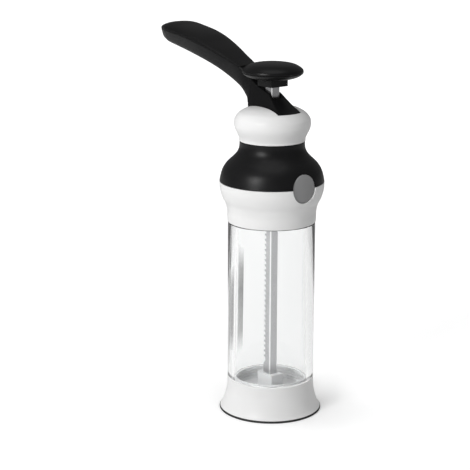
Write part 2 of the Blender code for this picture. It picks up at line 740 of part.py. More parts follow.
def inner_frame():
    """Plate across the head with two cheeks that carry the lever's pin, and a shelf for the catch."""
    bm = bmesh.new()
    add_rod(bm, PLATE_RADIUS, PLATE_BOTTOM, PLATE_TOP, (0.0, 0.0), along="Z", steps=TURN_STEPS)
    frame = piece("inner_frame", bm, "grey_frame")
    cheeks = bmesh.new()
    for side in (-1, 1):
        low, high = sorted((side * CHEEK_INNER, side * CHEEK_OUTER))
        add_box(
            cheeks, (-CHEEK_HALF_LENGTH, low, PLATE_TOP - PLATE_THICKNESS / 2),
            (CHEEK_HALF_LENGTH, high, CHEEK_TOP),
        )
    apply_tool(frame, "frame_cheeks", cheeks, "UNION")
    span = CHEEK_INNER + CHEEK_THICKNESS / 2
    shelf = bmesh.new()
    add_box(
        shelf, (-CHEEK_HALF_LENGTH + FIT_GAP, -span, SHELF_TOP - SHELF_THICKNESS),
        (CHEEK_HALF_LENGTH - FIT_GAP, span, SHELF_TOP),
    )
    apply_tool(frame, "frame_shelf", shelf, "UNION")
    seat = bmesh.new()
    front = CHEEK_HALF_LENGTH - 2 * FIT_GAP
    add_box(
        seat, (front - SPRING_SEAT_DEPTH, -span, SHELF_TOP - SPRING_SEAT_HEIGHT),
        (front, span, SHELF_TOP - SHELF_THICKNESS / 2),
    )
    apply_tool(frame, "frame_spring_seat", seat, "UNION")
    holes = bmesh.new()
    guide = GUIDE_HALF + FIT_GAP
    rod = ROD_CLEARANCE + FIT_GAP
    add_box(holes, (-guide, -guide, PLATE_BOTTOM - CUT_OVERRUN), (guide, guide, PLATE_TOP + CUT_OVERRUN))
    add_box(
        holes, (-rod, -rod, SHELF_TOP - SHELF_THICKNESS - CUT_OVERRUN),
        (rod, rod, SHELF_TOP + CUT_OVERRUN),
    )
    for x, y in frame_screw_places():
        add_rod(
            holes, SCREW_RADIUS + FIT_GAP, PLATE_BOTTOM - CUT_OVERRUN, PLATE_TOP + CUT_OVERRUN,
            (x, y), along="Z", steps=PIN_STEPS // 2,
        )
    for side in (-1, 1):
        add_rod(
            holes, TIE_RADIUS + FIT_GAP, PLATE_BOTTOM - CUT_OVERRUN, PLATE_TOP + CUT_OVERRUN,
            (0.0, side * TIE_OFFSET), along="Z",
        )
    reach = CHEEK_OUTER + CUT_OVERRUN
    add_rod(holes, PIVOT_RADIUS + FIT_GAP, -reach, reach, (PIVOT_X, PIVOT_Z))
    apply_tool(frame, "frame_holes", holes, "DIFFERENCE")
    return frame


def rod_guide():
    """Square bush in the frame's plate that keeps the rod upright."""
    bm = bmesh.new()
    low = PLATE_BOTTOM - GUIDE_DROP
    flange_low = PLATE_TOP + FIT_GAP
    add_box(bm, (-GUIDE_HALF, -GUIDE_HALF, low), (GUIDE_HALF, GUIDE_HALF, flange_low + FIT_GAP))
    guide = piece("rod_guide", bm, "white_plastic")
    flange = bmesh.new()
    half = GUIDE_FLANGE_HALF
    add_box(flange, (-half, -half, flange_low), (half, half, flange_low + GUIDE_FLANGE_THICKNESS))
    apply_tool(guide, "guide_flange", flange, "UNION")
    bore = bmesh.new()
    half = ROD_CLEARANCE
    add_box(
        bore, (-half, -half, low - CUT_OVERRUN),
        (half, half, flange_low + GUIDE_FLANGE_THICKNESS + CUT_OVERRUN),
    )
    apply_tool(guide, "guide_bore", bore, "DIFFERENCE")
    return guide


def upper_rod_guide():
    """Guide block between the cheeks."""
    bm = bmesh.new()
    half = CHEEK_INNER - FIT_GAP
    top = UPPER_GUIDE_Z + UPPER_GUIDE_HEIGHT
    add_box(bm, (-UPPER_GUIDE_HALF, -half, UPPER_GUIDE_Z), (UPPER_GUIDE_HALF, half, top))
    guide = piece("upper_rod_guide", bm, "white_plastic")
    bore = bmesh.new()
    half = ROD_CLEARANCE
    add_box(bore, (-half, -half, UPPER_GUIDE_Z - CUT_OVERRUN), (half, half, top + CUT_OVERRUN))
    apply_tool(guide, "upper_guide_bore", bore, "DIFFERENCE")
    return guide


def screw_profile(radius, head_radius, head_low, head_height, tip, down=True):
    """Profile of a screw on the Z axis, with its head over or under its shank."""
    if down:
        points = ((0.0, tip), (radius, tip), (radius, head_low), (head_radius, head_low),
                  (head_radius, head_low + head_height), (0.0, head_low + head_height))
        return points
    head_top = head_low + head_height
    return ((0.0, head_low), (head_radius, head_low), (head_radius, head_top),
            (radius, head_top), (radius, tip), (0.0, tip))


def frame_screws():
    """Small screws through the plate into the lower housing."""
    made = []
    head_low = PLATE_TOP + FIT_GAP
    profile = screw_profile(
        SCREW_RADIUS, SCREW_HEAD_RADIUS, head_low, SCREW_HEAD_HEIGHT, PLATE_TOP - SCREW_LENGTH
    )
    for i, (x, y) in enumerate(frame_screw_places()):
        bm = bmesh.new()
        verts = add_turned(bm, profile, steps=PIN_STEPS // 2)
        bmesh.ops.translate(bm, verts=verts, vec=(x, y, 0.0))
        made.append(piece(f"frame_screw_{i + 1}", bm, "steel"))
    return made


def tie_screws():
    """Long screws from under the plate up into the cap, which clamp the head's shells together."""
    made = []
    head_low = PLATE_BOTTOM - FIT_GAP - TIE_HEAD_HEIGHT
    profile = screw_profile(
        TIE_RADIUS, TIE_HEAD_RADIUS, head_low, TIE_HEAD_HEIGHT, TIE_TOP, down=False
    )
    for i, side in enumerate((-1, 1)):
        bm = bmesh.new()
        verts = add_turned(bm, profile, steps=PIN_STEPS // 2)
        bmesh.ops.translate(bm, verts=verts, vec=(0.0, side * TIE_OFFSET, 0.0))
        made.append(piece(f"tie_screw_{i + 1}", bm, "steel"))
    return made


def rack_rod():
    """Folded steel channel, open to the back, with ratchet teeth on its two free edges."""
    bm = bmesh.new()
    outline = [(ROD_HALF, ROD_BOTTOM), (ROD_HALF, ROD_TOP), (TOOTH_CREST_X, ROD_TOP)]
    root = TOOTH_CREST_X + TOOTH_DEPTH
    for i in reversed(range(TOOTH_COUNT)):
        ledge = TOOTH_START + TOOTH_PITCH * (i + 1)
        outline.append((TOOTH_CREST_X, ledge + TOOTH_PITCH / 8) if i == TOOTH_COUNT - 1 else
                       (root, ledge + MERGE_DISTANCE))
        outline.append((root, ledge) if i == TOOTH_COUNT - 1 else (TOOTH_CREST_X, ledge))
    outline.append((root, TOOTH_START))
    outline.append((TOOTH_CREST_X, TOOTH_START - TOOTH_DEPTH))
    outline.append((TOOTH_CREST_X, ROD_BOTTOM))
    add_prism(bm, outline, -ROD_HALF, ROD_HALF)
    rod = piece("rack_rod", bm, "steel")
    channel = bmesh.new()
    half = ROD_HALF - ROD_WALL
    add_box(
        channel, (-ROD_HALF - CUT_OVERRUN, -half, ROD_BOTTOM - CUT_OVERRUN),
        (half, half, ROD_TOP + CUT_OVERRUN),
    )
    apply_tool(rod, "rod_channel", channel, "DIFFERENCE")
    return rod


def rod_blocks():
    """Steel blocks in the ends of the channel, which take the plunger's and the knob's screws."""
    made = []
    half = ROD_HALF - ROD_WALL - FIT_GAP
    places = (("rod_foot_block", ROD_BOTTOM, 0.0), ("rod_head_block", ROD_TOP - BLOCK_LENGTH, 0.0))
    for name, low, middle in places:
        bm = bmesh.new()
        add_box(bm, (middle - half, -half, low), (middle + half, half, low + BLOCK_LENGTH))
        block = piece(name, bm, "steel")
        bore = bmesh.new()
        add_rod(
            bore, PLUNGER_SCREW_RADIUS + FIT_GAP, low - CUT_OVERRUN, low + BLOCK_LENGTH + CUT_OVERRUN,
            (0.0, 0.0), along="Z", steps=PIN_STEPS // 2,
        )
        apply_tool(block, f"{name}_bore", bore, "DIFFERENCE")
        made.append(block)
    return made


def plunger():
    """Frosted cup that fills the bore, with a square hub that holds the rod's foot."""
    top = PLUNGER_BOTTOM + PLUNGER_HEIGHT
    floor_low = PLUNGER_FLOOR_Z - PLUNGER_FLOOR
    rim = PLUNGER_RADIUS - PLUNGER_WALL
    points = (
        (0.0, floor_low), (rim, floor_low), (rim, PLUNGER_BOTTOM),
        (PLUNGER_RADIUS, PLUNGER_BOTTOM), (PLUNGER_RADIUS, top), (rim, top),
        (rim, PLUNGER_FLOOR_Z), (0.0, PLUNGER_FLOOR_Z),
    )
    bm = bmesh.new()
    add_turned(bm, points)
    cup = piece("plunger", bm, "frosted_plastic")
    hub = bmesh.new()
    length, width = PLUNGER_HUB_LENGTH / 2, PLUNGER_HUB_WIDTH / 2
    hub_top = PLUNGER_BOTTOM + PLUNGER_HUB_HEIGHT
    add_box(hub, (-length, -width, PLUNGER_FLOOR_Z - PLUNGER_FLOOR / 2), (length, width, hub_top))
    apply_tool(cup, "plunger_hub", hub, "UNION")
    socket = bmesh.new()
    half = ROD_HALF + FIT_GAP
    add_box(socket, (-half, -half, ROD_BOTTOM - FIT_GAP), (half, half, hub_top + CUT_OVERRUN))
    add_rod(
        socket, PLUNGER_SCREW_RADIUS + FIT_GAP, floor_low - CUT_OVERRUN,
        ROD_BOTTOM, (0.0, 0.0), along="Z", steps=PIN_STEPS // 2,
    )
    apply_tool(cup, "plunger_socket", socket, "DIFFERENCE")
    return cup


def plunger_screw():
    """Screw through the plunger's floor into the rod's foot."""
    head_low = PLUNGER_FLOOR_Z - PLUNGER_FLOOR - FIT_GAP - PLUNGER_SCREW_HEAD_HEIGHT
    profile = screw_profile(
        PLUNGER_SCREW_RADIUS, PLUNGER_SCREW_HEAD_RADIUS, head_low, PLUNGER_SCREW_HEAD_HEIGHT,
        ROD_BOTTOM + BLOCK_LENGTH / 2, down=False,
    )
    bm = bmesh.new()
    add_turned(bm, profile, steps=PIN_STEPS // 2)
    return piece("plunger_screw", bm, "steel")


def knob_points(shares, height):
    """Points of the knob's section, from its widest level up or down to a height."""
    return [(KNOB_RADIUS * r, KNOB_RIM_Z + height * z) for r, z in shares]


def knob_base():
    """Lower half of the knob, with the square collar that fits over the rod."""
    split = KNOB_RIM_Z - KNOB_SPLIT_DROP
    under = knob_points(KNOB_UNDERSIDE_SHARES, -KNOB_DEPTH)
    points = [(0.0, under[0][1])] + under + [(KNOB_RADIUS, split), (0.0, split)]
    bm = bmesh.new()
    add_turned(bm, points)
    base = piece("knob_base", bm, "black_gloss")
    collar = bmesh.new()
    half = COLLAR_HALF
    add_box(collar, (-half, -half, COLLAR_BOTTOM), (half, half, KNOB_RIM_Z - KNOB_DEPTH / 2))
    apply_tool(base, "knob_collar", collar, "UNION")
    socket = bmesh.new()
    half = ROD_HALF + FIT_GAP
    add_box(socket, (-half, -half, COLLAR_BOTTOM - CUT_OVERRUN), (half, half, ROD_TOP + FIT_GAP))
    add_rod(
        socket, PLUNGER_SCREW_RADIUS + FIT_GAP, ROD_TOP, split + CUT_OVERRUN,
        (0.0, 0.0), along="Z", steps=PIN_STEPS // 2,
    )
    apply_tool(base, "knob_socket", socket, "DIFFERENCE")
    return base


def knob_cover():
    """Upper half of the knob, a lens-shaped cover over the screw."""
    low = KNOB_RIM_Z - KNOB_SPLIT_DROP + FIT_GAP
    top = knob_points(KNOB_TOP_SHARES, KNOB_RISE)
    hollow = PLUNGER_SCREW_HEAD_RADIUS + RUN_GAP
    hollow_top = low + PLUNGER_SCREW_HEAD_HEIGHT + RUN_GAP
    points = [(hollow, low), (KNOB_RADIUS, low)] + top + [(0.0, hollow_top), (hollow, hollow_top)]
    bm = bmesh.new()
    add_turned(bm, points)
    return piece("knob_cover", bm, "black_gloss")


def knob_screw():
    """Screw under the cover, down into the rod's head block."""
    profile = screw_profile(
        PLUNGER_SCREW_RADIUS, PLUNGER_SCREW_HEAD_RADIUS, KNOB_RIM_Z - KNOB_SPLIT_DROP + FIT_GAP,
        PLUNGER_SCREW_HEAD_HEIGHT, ROD_TOP - BLOCK_LENGTH / 2,
    )
    bm = bmesh.new()
    add_turned(bm, profile, steps=PIN_STEPS // 2)
    return piece("knob_screw", bm, "steel")


def lever_section(x, low, edge, crown, low_half, edge_half):
    """One upright section across the lever: drawn-in bottom, leaning sides and crowned top."""
    width, rise = LEVER_CROWN_SHARES
    side = [(low_half * across, low + (edge - low) * up) for across, up in LEVER_SIDE_SHARES]
    side += [(edge_half, edge), (edge_half * width, edge + (crown - edge) * rise)]
    right = [(x, y, z) for y, z in side]
    left = [(x, -y, z) for y, z in reversed(side)]
    return right + [(x, 0.0, crown)] + left


def arm_place(along):
    """Where a share of the arm's length lies, from the back of the lever's head to its end."""
    head_back = HEAD_SHARES[-1][0] * NOSE_REACH
    return -(head_back + along * (LEVER_REACH - head_back))


def lever_frame():
    """Hard lever: nose and head over the cap, neck, and the tray under the grip pad."""
    sections = []
    for along, low, edge, crown, low_half, edge_half in HEAD_SHARES:
        sections.append(lever_section(
            -along * NOSE_REACH, DECK_Z + low * DECK_DEPTH, DECK_Z + edge * HEAD_RISE,
            DECK_Z + crown * HEAD_RISE, low_half * HEAD_HALF_WIDTH, edge_half * HEAD_HALF_WIDTH,
        ))
    for along, low, edge, crown, low_half, edge_half in ARM_SHARES:
        sections.append(lever_section(
            arm_place(along), DECK_Z + low * LEVER_RISE, DECK_Z + edge * LEVER_RISE,
            DECK_Z + crown * LEVER_RISE, low_half * PAD_HALF_WIDTH, edge_half * PAD_HALF_WIDTH,
        ))
    bm = bmesh.new()
    add_loft(bm, sections)
    frame = piece("lever_frame", bm, "black_gloss")
    arms = bmesh.new()
    front = PIVOT_X + 2 * PIVOT_RADIUS + RUN_GAP
    outline = (
        (front, DECK_Z - DECK_DEPTH / 2), (front, PIVOT_Z - PIVOT_RADIUS),
        (PIVOT_X, PIVOT_Z - PIVOT_DROP), (PAWL_X, ARM_BOTTOM_Z),
        (ARM_BACK_X, PAWL_Z), (ARM_BACK_X, DECK_Z - DECK_DEPTH / 2),
    )
    add_prism(arms, outline, -ARM_HALF_WIDTH, ARM_HALF_WIDTH)
    apply_tool(frame, "lever_arms", arms, "UNION")
    apply_tool(frame, "lever_ways", lever_ways(), "DIFFERENCE")
    return frame


def lever_ways():
    """The rod's way through the lever, the pocket between its arms, and the pin holes."""
    ways = bmesh.new()
    top = DECK_Z + HEAD_RISE + 2 * SLOT_HALF_WIDTH
    turn_top = (top - PIVOT_Z) * sin(LEVER_TRAVEL)
    swing = (PIVOT_X - ROD_HALF) * cos(LEVER_TRAVEL)
    front_low = PIVOT_X - swing + RUN_GAP + (POCKET_TOP_Z - PIVOT_Z) * sin(LEVER_TRAVEL)
    front_top = PIVOT_X - swing + RUN_GAP + turn_top
    outline = (
        (-ROD_CLEARANCE - FIT_GAP, POCKET_TOP_Z - CUT_OVERRUN), (front_low, POCKET_TOP_Z - CUT_OVERRUN),
        (front_top, top), (-ROD_CLEARANCE - FIT_GAP, top),
    )
    add_prism(ways, outline, -SLOT_HALF_WIDTH, SLOT_HALF_WIDTH)
    add_box(
        ways, (POCKET_BACK_X, -SLOT_HALF_WIDTH + MERGE_DISTANCE, ARM_BOTTOM_Z - 2 * CUT_OVERRUN),
        (POCKET_FRONT_X, SLOT_HALF_WIDTH - MERGE_DISTANCE, POCKET_TOP_Z),
    )
    reach = ARM_HALF_WIDTH + CUT_OVERRUN
    add_rod(ways, PIVOT_RADIUS + FIT_GAP, -reach, reach, (PIVOT_X, PIVOT_Z))
    add_rod(ways, PAWL_PIN_RADIUS + FIT_GAP, -reach, reach, (PAWL_X, PAWL_Z))
    return ways


def lever_pad():
    """Soft crowned pad on top of the lever, widening to a round end."""
    sections = []
    for along, low, crown, half in PAD_SHARES:
        x = arm_place(along)
        low_z = DECK_Z + low * LEVER_RISE + FIT_GAP
        crown_z = DECK_Z + crown * LEVER_RISE
        width = half * PAD_HALF_WIDTH
        side = [(width * across, low_z + (crown_z - low_z) * up) for across, up in PAD_SIDE_SHARES]
        right = [(x, y, z) for y, z in side]
        left = [(x, -y, z) for y, z in reversed(side)]
        sections.append(right + [(x, 0.0, crown_z)] + left)
    bm = bmesh.new()
    add_loft(bm, sections)
    return piece("lever_pad", bm, "black_soft")


def lever_pivot_pin():
    """Steel pin through the cheeks and the lever's arms."""
    bm = bmesh.new()
    reach = CHEEK_OUTER - FIT_GAP
    add_rod(bm, PIVOT_RADIUS, -reach, reach, (PIVOT_X, PIVOT_Z))
    return piece("lever_pivot_pin", bm, "steel")


def lever_return_spring():
    """Torsion spring round the pivot pin, between the lever's arms."""
    length = LEVER_SPRING_TURNS * LEVER_SPRING_PITCH
    coil = coil_points(
        (PIVOT_X, -length / 2, PIVOT_Z), (0, 1, 0), (1, 0, 0), length,
        LEVER_SPRING_RADIUS, LEVER_SPRING_TURNS,
    )
    first_run = (coil[0] - coil[1]).normalized()
    last_run = (coil[-1] - coil[-2]).normalized()
    start = coil[0] + first_run * LEVER_SPRING_LEG
    end = coil[-1] + last_run * LEVER_SPRING_LEG
    return wire("lever_return_spring", [start] + coil + [end], LEVER_SPRING_WIRE, "spring_steel")


def drive_pawl():
    """Pawl that pushes the rod down a tooth at each squeeze."""
    hub = PAWL_HUB_RADIUS
    outline = (
        (PAWL_X - PAWL_TAIL, PAWL_Z + PAWL_THICKNESS), (PAWL_X - PAWL_TAIL, PAWL_Z),
        (PAWL_X - hub / 2, PAWL_Z - hub), (PAWL_TIP_X - PAWL_THICKNESS, PAWL_TIP_Z - PAWL_THICKNESS / 4),
        (PAWL_TIP_X, PAWL_TIP_Z), (PAWL_TIP_X - PAWL_THICKNESS / 4, PAWL_TIP_Z + PAWL_THICKNESS),
        (PAWL_X + hub, PAWL_Z + hub / 2), (PAWL_X + hub / 2, PAWL_Z + PAWL_THICKNESS),
    )
    bm = bmesh.new()
    add_prism(bm, outline, -PAWL_HALF_WIDTH, PAWL_HALF_WIDTH)
    pawl = piece("drive_pawl", bm, "steel")
    bore = bmesh.new()
    reach = PAWL_HALF_WIDTH + CUT_OVERRUN
    add_rod(bore, PAWL_PIN_RADIUS + FIT_GAP, -reach, reach, (PAWL_X, PAWL_Z))
    apply_tool(pawl, "pawl_bore", bore, "DIFFERENCE")
    return pawl


def drive_pawl_pin():
    """Steel pin that carries the drive pawl between the lever's arms."""
    bm = bmesh.new()
    reach = ARM_HALF_WIDTH - FIT_GAP
    add_rod(bm, PAWL_PIN_RADIUS, -reach, reach, (PAWL_X, PAWL_Z))
    return piece("drive_pawl_pin", bm, "steel")


def drive_pawl_spring():
    """Small coil spring over the pawl's tail, under the lever's deck."""
    low = PAWL_Z + PAWL_THICKNESS + PAWL_SPRING_WIRE + FIT_GAP
    high = POCKET_TOP_Z - PAWL_SPRING_WIRE - FIT_GAP
    x = PAWL_X - PAWL_TAIL + PAWL_SPRING_RADIUS + PAWL_SPRING_WIRE
    coil = coil_points(
        (x, 0.0, low), (0, 0, 1), (1, 0, 0), high - low, PAWL_SPRING_RADIUS, PAWL_SPRING_TURNS
    )
    return wire("drive_pawl_spring", coil, PAWL_SPRING_WIRE, "spring_steel")


def release_button():
    """Round button with a stem that holds the catch plate's tail."""
    bm = bmesh.new()
    back = BUTTON_FACE_X - BUTTON_THICKNESS
    add_rod(
        bm, BUTTON_RADIUS, back, BUTTON_FACE_X, (0.0, SEAM_Z), along="X", steps=TURN_STEPS // 2
    )
    button = piece("release_button", bm, "grey_plastic")
    stem = bmesh.new()
    half = BUTTON_STEM_HALF
    add_box(
        stem, (back - BUTTON_STEM_LENGTH, -half, SEAM_Z - half),
        (back + BUTTON_THICKNESS / 2, half, SEAM_Z + half),
    )
    apply_tool(button, "button_stem", stem, "UNION")
    slot = bmesh.new()
    width = CATCH_TAIL_HALF + FIT_GAP
    add_box(
        slot, (back - BUTTON_STEM_LENGTH - CUT_OVERRUN, -width, CATCH_BOTTOM - FIT_GAP),
        (CATCH_TAIL_END + FIT_GAP, width, CATCH_BOTTOM + CATCH_THICKNESS + FIT_GAP),
    )
    apply_tool(button, "button_stem_slot", slot, "DIFFERENCE")
    return button


def catch_plate():
    """Steel plate round the rod, whose back edge catches the teeth until the button is pressed."""
    tip = TOOTH_CREST_X - FIT_GAP
    front = ROD_HALF + BUTTON_TRAVEL + RUN_GAP
    outline = (
        (-CATCH_BACK, -CATCH_HALF_WIDTH), (CATCH_FRONT, -CATCH_HALF_WIDTH),
        (CATCH_FRONT, -CATCH_TAIL_HALF), (CATCH_TAIL_END, -CATCH_TAIL_HALF),
        (CATCH_TAIL_END, CATCH_TAIL_HALF), (CATCH_FRONT, CATCH_TAIL_HALF),
        (CATCH_FRONT, CATCH_HALF_WIDTH), (-CATCH_BACK, CATCH_HALF_WIDTH),
    )
    bm = bmesh.new()
    add_prism(bm, outline, CATCH_BOTTOM, CATCH_BOTTOM + CATCH_THICKNESS, along="Z")
    plate = piece("catch_plate", bm, "steel")
    window = bmesh.new()
    half = SLOT_HALF_WIDTH
    add_box(
        window, (tip, -half, CATCH_BOTTOM - CUT_OVERRUN),
        (front, half, CATCH_BOTTOM + CATCH_THICKNESS + CUT_OVERRUN),
    )
    apply_tool(plate, "catch_window", window, "DIFFERENCE")
    return plate


def button_spring():
    """Coil spring behind the button, against the inner frame."""
    start = CHEEK_HALF_LENGTH + BUTTON_SPRING_WIRE
    end = BUTTON_FACE_X - BUTTON_THICKNESS - BUTTON_SPRING_WIRE - FIT_GAP
    coil = coil_points(
        (start, 0.0, SEAM_Z - BUTTON_SPRING_DROP), (1, 0, 0), (0, 0, -1), end - start,
        BUTTON_SPRING_RADIUS, BUTTON_SPRING_TURNS,
    )
    return wire("button_spring", coil, BUTTON_SPRING_WIRE, "spring_steel")


def build():
    """Make every piece and hang the moving ones on empties at their joints."""
    clear_scene()
    foot_ring()
    base_ring()
    cookie_disc()
    barrel_axis = empty_at("barrel_twist_axis", (0.0, 0.0, BASE_TOP))
    head_axis = empty_at("head_twist_axis", (0.0, 0.0, HEAD_BOTTOM))
    rod_axis = empty_at("rod_slide_axis", (0.0, 0.0, PLUNGER_BOTTOM))
    lever_axis = empty_at("lever_axis", (PIVOT_X, 0.0, PIVOT_Z))
    pawl_axis = empty_at("drive_pawl_axis", (PAWL_X, 0.0, PAWL_Z))
    button_axis = empty_at("button_axis", (BUTTON_FACE_X, 0.0, SEAM_Z))
    carry(barrel_axis, [barrel()])
    carry(head_axis, [
        lower_housing(), grip_band(), upper_cap(), inner_frame(), rod_guide(), upper_rod_guide(),
        lever_pivot_pin(), lever_return_spring(), *frame_screws(), *tie_screws(),
    ])
    carry(rod_axis, [
        rack_rod(), *rod_blocks(), plunger(), plunger_screw(), knob_base(), knob_cover(), knob_screw(),
    ])
    carry(lever_axis, [lever_frame(), lever_pad(), drive_pawl_pin(), drive_pawl_spring()])
    carry(pawl_axis, [drive_pawl()])
    carry(button_axis, [release_button(), catch_plate(), button_spring()])
    print(f"lever travel {degrees(LEVER_TRAVEL):.0f} degrees")


build()
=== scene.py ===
import json
from math import asin, cos, pi, radians, sin

import bmesh
import bpy
from mathutils import Matrix, Vector


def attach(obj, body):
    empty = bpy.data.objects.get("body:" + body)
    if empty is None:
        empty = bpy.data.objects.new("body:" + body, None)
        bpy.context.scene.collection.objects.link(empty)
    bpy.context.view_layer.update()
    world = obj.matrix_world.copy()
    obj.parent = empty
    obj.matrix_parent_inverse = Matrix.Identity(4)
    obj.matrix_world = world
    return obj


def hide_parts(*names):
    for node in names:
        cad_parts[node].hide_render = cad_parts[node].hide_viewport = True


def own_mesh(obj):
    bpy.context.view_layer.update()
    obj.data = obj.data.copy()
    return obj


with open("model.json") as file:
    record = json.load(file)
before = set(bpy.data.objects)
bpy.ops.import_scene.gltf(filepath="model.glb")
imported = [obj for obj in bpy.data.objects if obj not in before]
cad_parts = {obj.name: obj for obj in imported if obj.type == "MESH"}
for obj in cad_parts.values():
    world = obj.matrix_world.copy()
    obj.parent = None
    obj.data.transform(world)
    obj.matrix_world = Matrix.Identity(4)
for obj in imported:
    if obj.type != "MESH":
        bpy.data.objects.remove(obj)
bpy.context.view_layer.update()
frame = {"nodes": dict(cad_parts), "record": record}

NODES = frame["nodes"]

# Fineness
TURNS = 192
ARC_STEPS = 5
CURVE_STEPS = 4
SHARP_ANGLE = radians(32)
FIT_GAP = 0.0003
RUN_GAP = 0.0004
OVERRUN = 0.001
TINY = 0.000001

# Camera, fitted to the photograph
LENS = 116.95
SENSOR = 36.0
CAMERA_PLACE = (0.798307, -0.655549, 0.394026)
CAMERA_AHEAD = (-0.788011, 0.615661, 0.0)
CAMERA_DOWN = radians(14.5446)
CAMERA_ROLL = radians(0.159)
HALF_PIXEL = 0.5 / 470

# Light
WORLD_LIGHT = 0.38
WORLD_SHEEN = 0.15
FLOOR_COLOUR = 0.8
# Lower floor glow next to the foot: a painted shadow around the base
FLOOR_GLOW_PAINTED_SHADOW = 0.28
FLOOR_GLOW_NEAR = 0.42
FLOOR_GLOW_FAR = 0.9
FLOOR_PAINTED_SHADOW_REACH = (0.036, 0.085)
FLOOR_FADE_REACH = (0.1, 1.1)
FLOOR_RADIUS = 3.0
FLOOR_DROP = 0.00005
LAMP_DISTANCE = 1.1
KEY_POWER = 6.7
LEFT_POWER = 2.4
TOP_POWER = 2.6
# Glowing cards seen only through the barrel: painted dark bands in the clear wall
PAINTED_BAND_FAR = (0.022, radians(17), 0.17, 0.040, 0.001, 0.056, (0.95, 0.35, 0.28, 0.16, 0.3, 0.95))
PAINTED_BAND_NEAR = (0.0354, 0.0, 0.003, 0.0082, 0.042, 0.101, (0.9, 0.45, 0.42, 0.42, 0.5, 0.95))
BARREL_GLOW_SHARE = 0.72

# Base
FOOT_RADIUS = 0.0361
FOOT_INNER = 0.0318
FOOT_HEIGHT = 0.0012
TONGUE_OUTER = 0.0335
TONGUE_INNER = 0.0329
TONGUE_TOP = 0.0027
BASE_BOTTOM = 0.0015
BASE_TOP = 0.024
BASE_TOP_RADIUS = 0.0306
BASE_RIM_RADIUS = 0.0358
BASE_SKIRT = 0.0316
LEDGE_Z = 0.0112
LEDGE_BOTTOM = 0.0096
LEDGE_INNER = 0.0254
RECESS = 0.0273
DISC_TOP = 0.0123
BASE_FLARE = (
    (1.0, 0.0), (0.731, 0.076), (0.5, 0.209), (0.327, 0.347),
    (0.192, 0.48), (0.077, 0.618), (0.02, 0.756), (0.0, 1.0),
)

# Barrel
BARREL_RADIUS = 0.0305
BARREL_BORE = 0.025
NECK_RADIUS = 0.0276
NECK_SOCKET = 0.028
BARREL_BOTTOM = 0.0127
BARREL_SHOULDER = 0.0244
BARREL_TOP_SHOULDER = 0.137
BARREL_TOP = 0.1498

# Head shells
HEAD_BOTTOM = 0.1374
HEAD_BOTTOM_RADIUS = 0.0308
HEAD_RADIUS = 0.0364
SEAM_Z = 0.1656
WAIST_RADIUS = 0.0226
WAIST_Z = 0.1938
CAP_BOTTOM = 0.1941
CAP_NECK_RADIUS = 0.0229
CAP_RADIUS = 0.0265
CAP_BULGE_Z = 0.206
CAP_RISE = 0.0126
SHELL_WALL = 0.0022
HOUSING_SHARES = (
    (0.0, 0.0), (0.036, 0.164), (0.054, 0.27), (0.161, 0.378), (0.32, 0.481),
    (0.59, 0.581), (0.786, 0.684), (0.964, 0.834), (1.0, 1.0),
)
BAND_SHARES = (
    (0.0, 0.0), (0.051, 0.127), (0.109, 0.231), (0.196, 0.331), (0.333, 0.431), (0.486, 0.51),
    (0.645, 0.581), (0.833, 0.682), (0.949, 0.782), (0.996, 0.882), (1.0, 1.0),
)
CAP_NECK_SHARES = ((0.0, 0.0), (0.03, 0.167), (0.35, 0.4), (0.73, 0.633), (0.95, 0.83))
CAP_DOME_SHARES = (
    (1.0, 0.0), (0.992, 0.206), (0.972, 0.317), (0.94, 0.421), (0.894, 0.532), (0.842, 0.627),
    (0.777, 0.706), (0.69, 0.794), (0.566, 0.881), (0.404, 0.952), (0.19, 0.988), (0.0, 1.0),
)
CAP_SLOT_BACK = 0.0228
CAP_SLOT_HALF = 0.0102
CAP_SLOT_FRONT = 0.0211

# Release button
BUTTON_RADIUS = 0.00975
BUTTON_FACE_X = 0.035
BUTTON_THICKNESS = 0.0034
BUTTON_CROWN = 0.0009
BUTTON_TRAVEL = 0.003
STEM_HALF = 0.0042
STEM_LENGTH = 0.0105
CATCH_TAIL_END = 0.029
CATCH_TAIL_HALF = 0.0032
CATCH_LOW = 0.16635
CATCH_HIGH = 0.16785

# Toothed rod
ROD_HALF = 0.0035
ROD_WALL = 0.0013
ROD_FOLD = 0.0009
ROD_BOTTOM = 0.019
ROD_TOP = 0.2385
TOOTH_PITCH = 0.0036
TOOTH_DEPTH = 0.0020
TOOTH_START = 0.0362
TOOTH_COUNT = 48
TOOTH_ROOT_SHARE = 0.45

# Plunger
PLUNGER_BOTTOM = 0.0128
PLUNGER_TOP = 0.0251
HUB_TOP = 0.0272
PLUNGER_RADIUS = 0.0247
PLUNGER_WALL = 0.0013
PLUNGER_FLOOR_TOP = 0.0166
PLUNGER_FLOOR_LOW = 0.0142
HUB_LENGTH = 0.0155
HUB_WIDTH = 0.0103
RING_DEPTH = 0.0008
RING_HEIGHT = 0.0006
RING_LEVELS = (0.0187, 0.0206, 0.0225)

# Knob
KNOB_RADIUS = 0.021
KNOB_RIM_Z = 0.2416
KNOB_RISE = 0.0062
KNOB_DEPTH = 0.0057
KNOB_SPLIT_DROP = 0.0009
KNOB_SCREW_RADIUS = 0.0014
COLLAR_HALF = 0.0076
COLLAR_ROUND = 0.0012
COLLAR_BOTTOM = 0.2316
KNOB_UNDERSIDE_SHARES = ((0.3, 1.0), (0.6, 0.87), (0.84, 0.61), (0.96, 0.32))
KNOB_TOP_SHARES = (
    (1.0, 0.03), (0.986, 0.2), (0.94, 0.36), (0.857, 0.56), (0.7, 0.79), (0.4, 0.955), (0.0, 1.0),
)

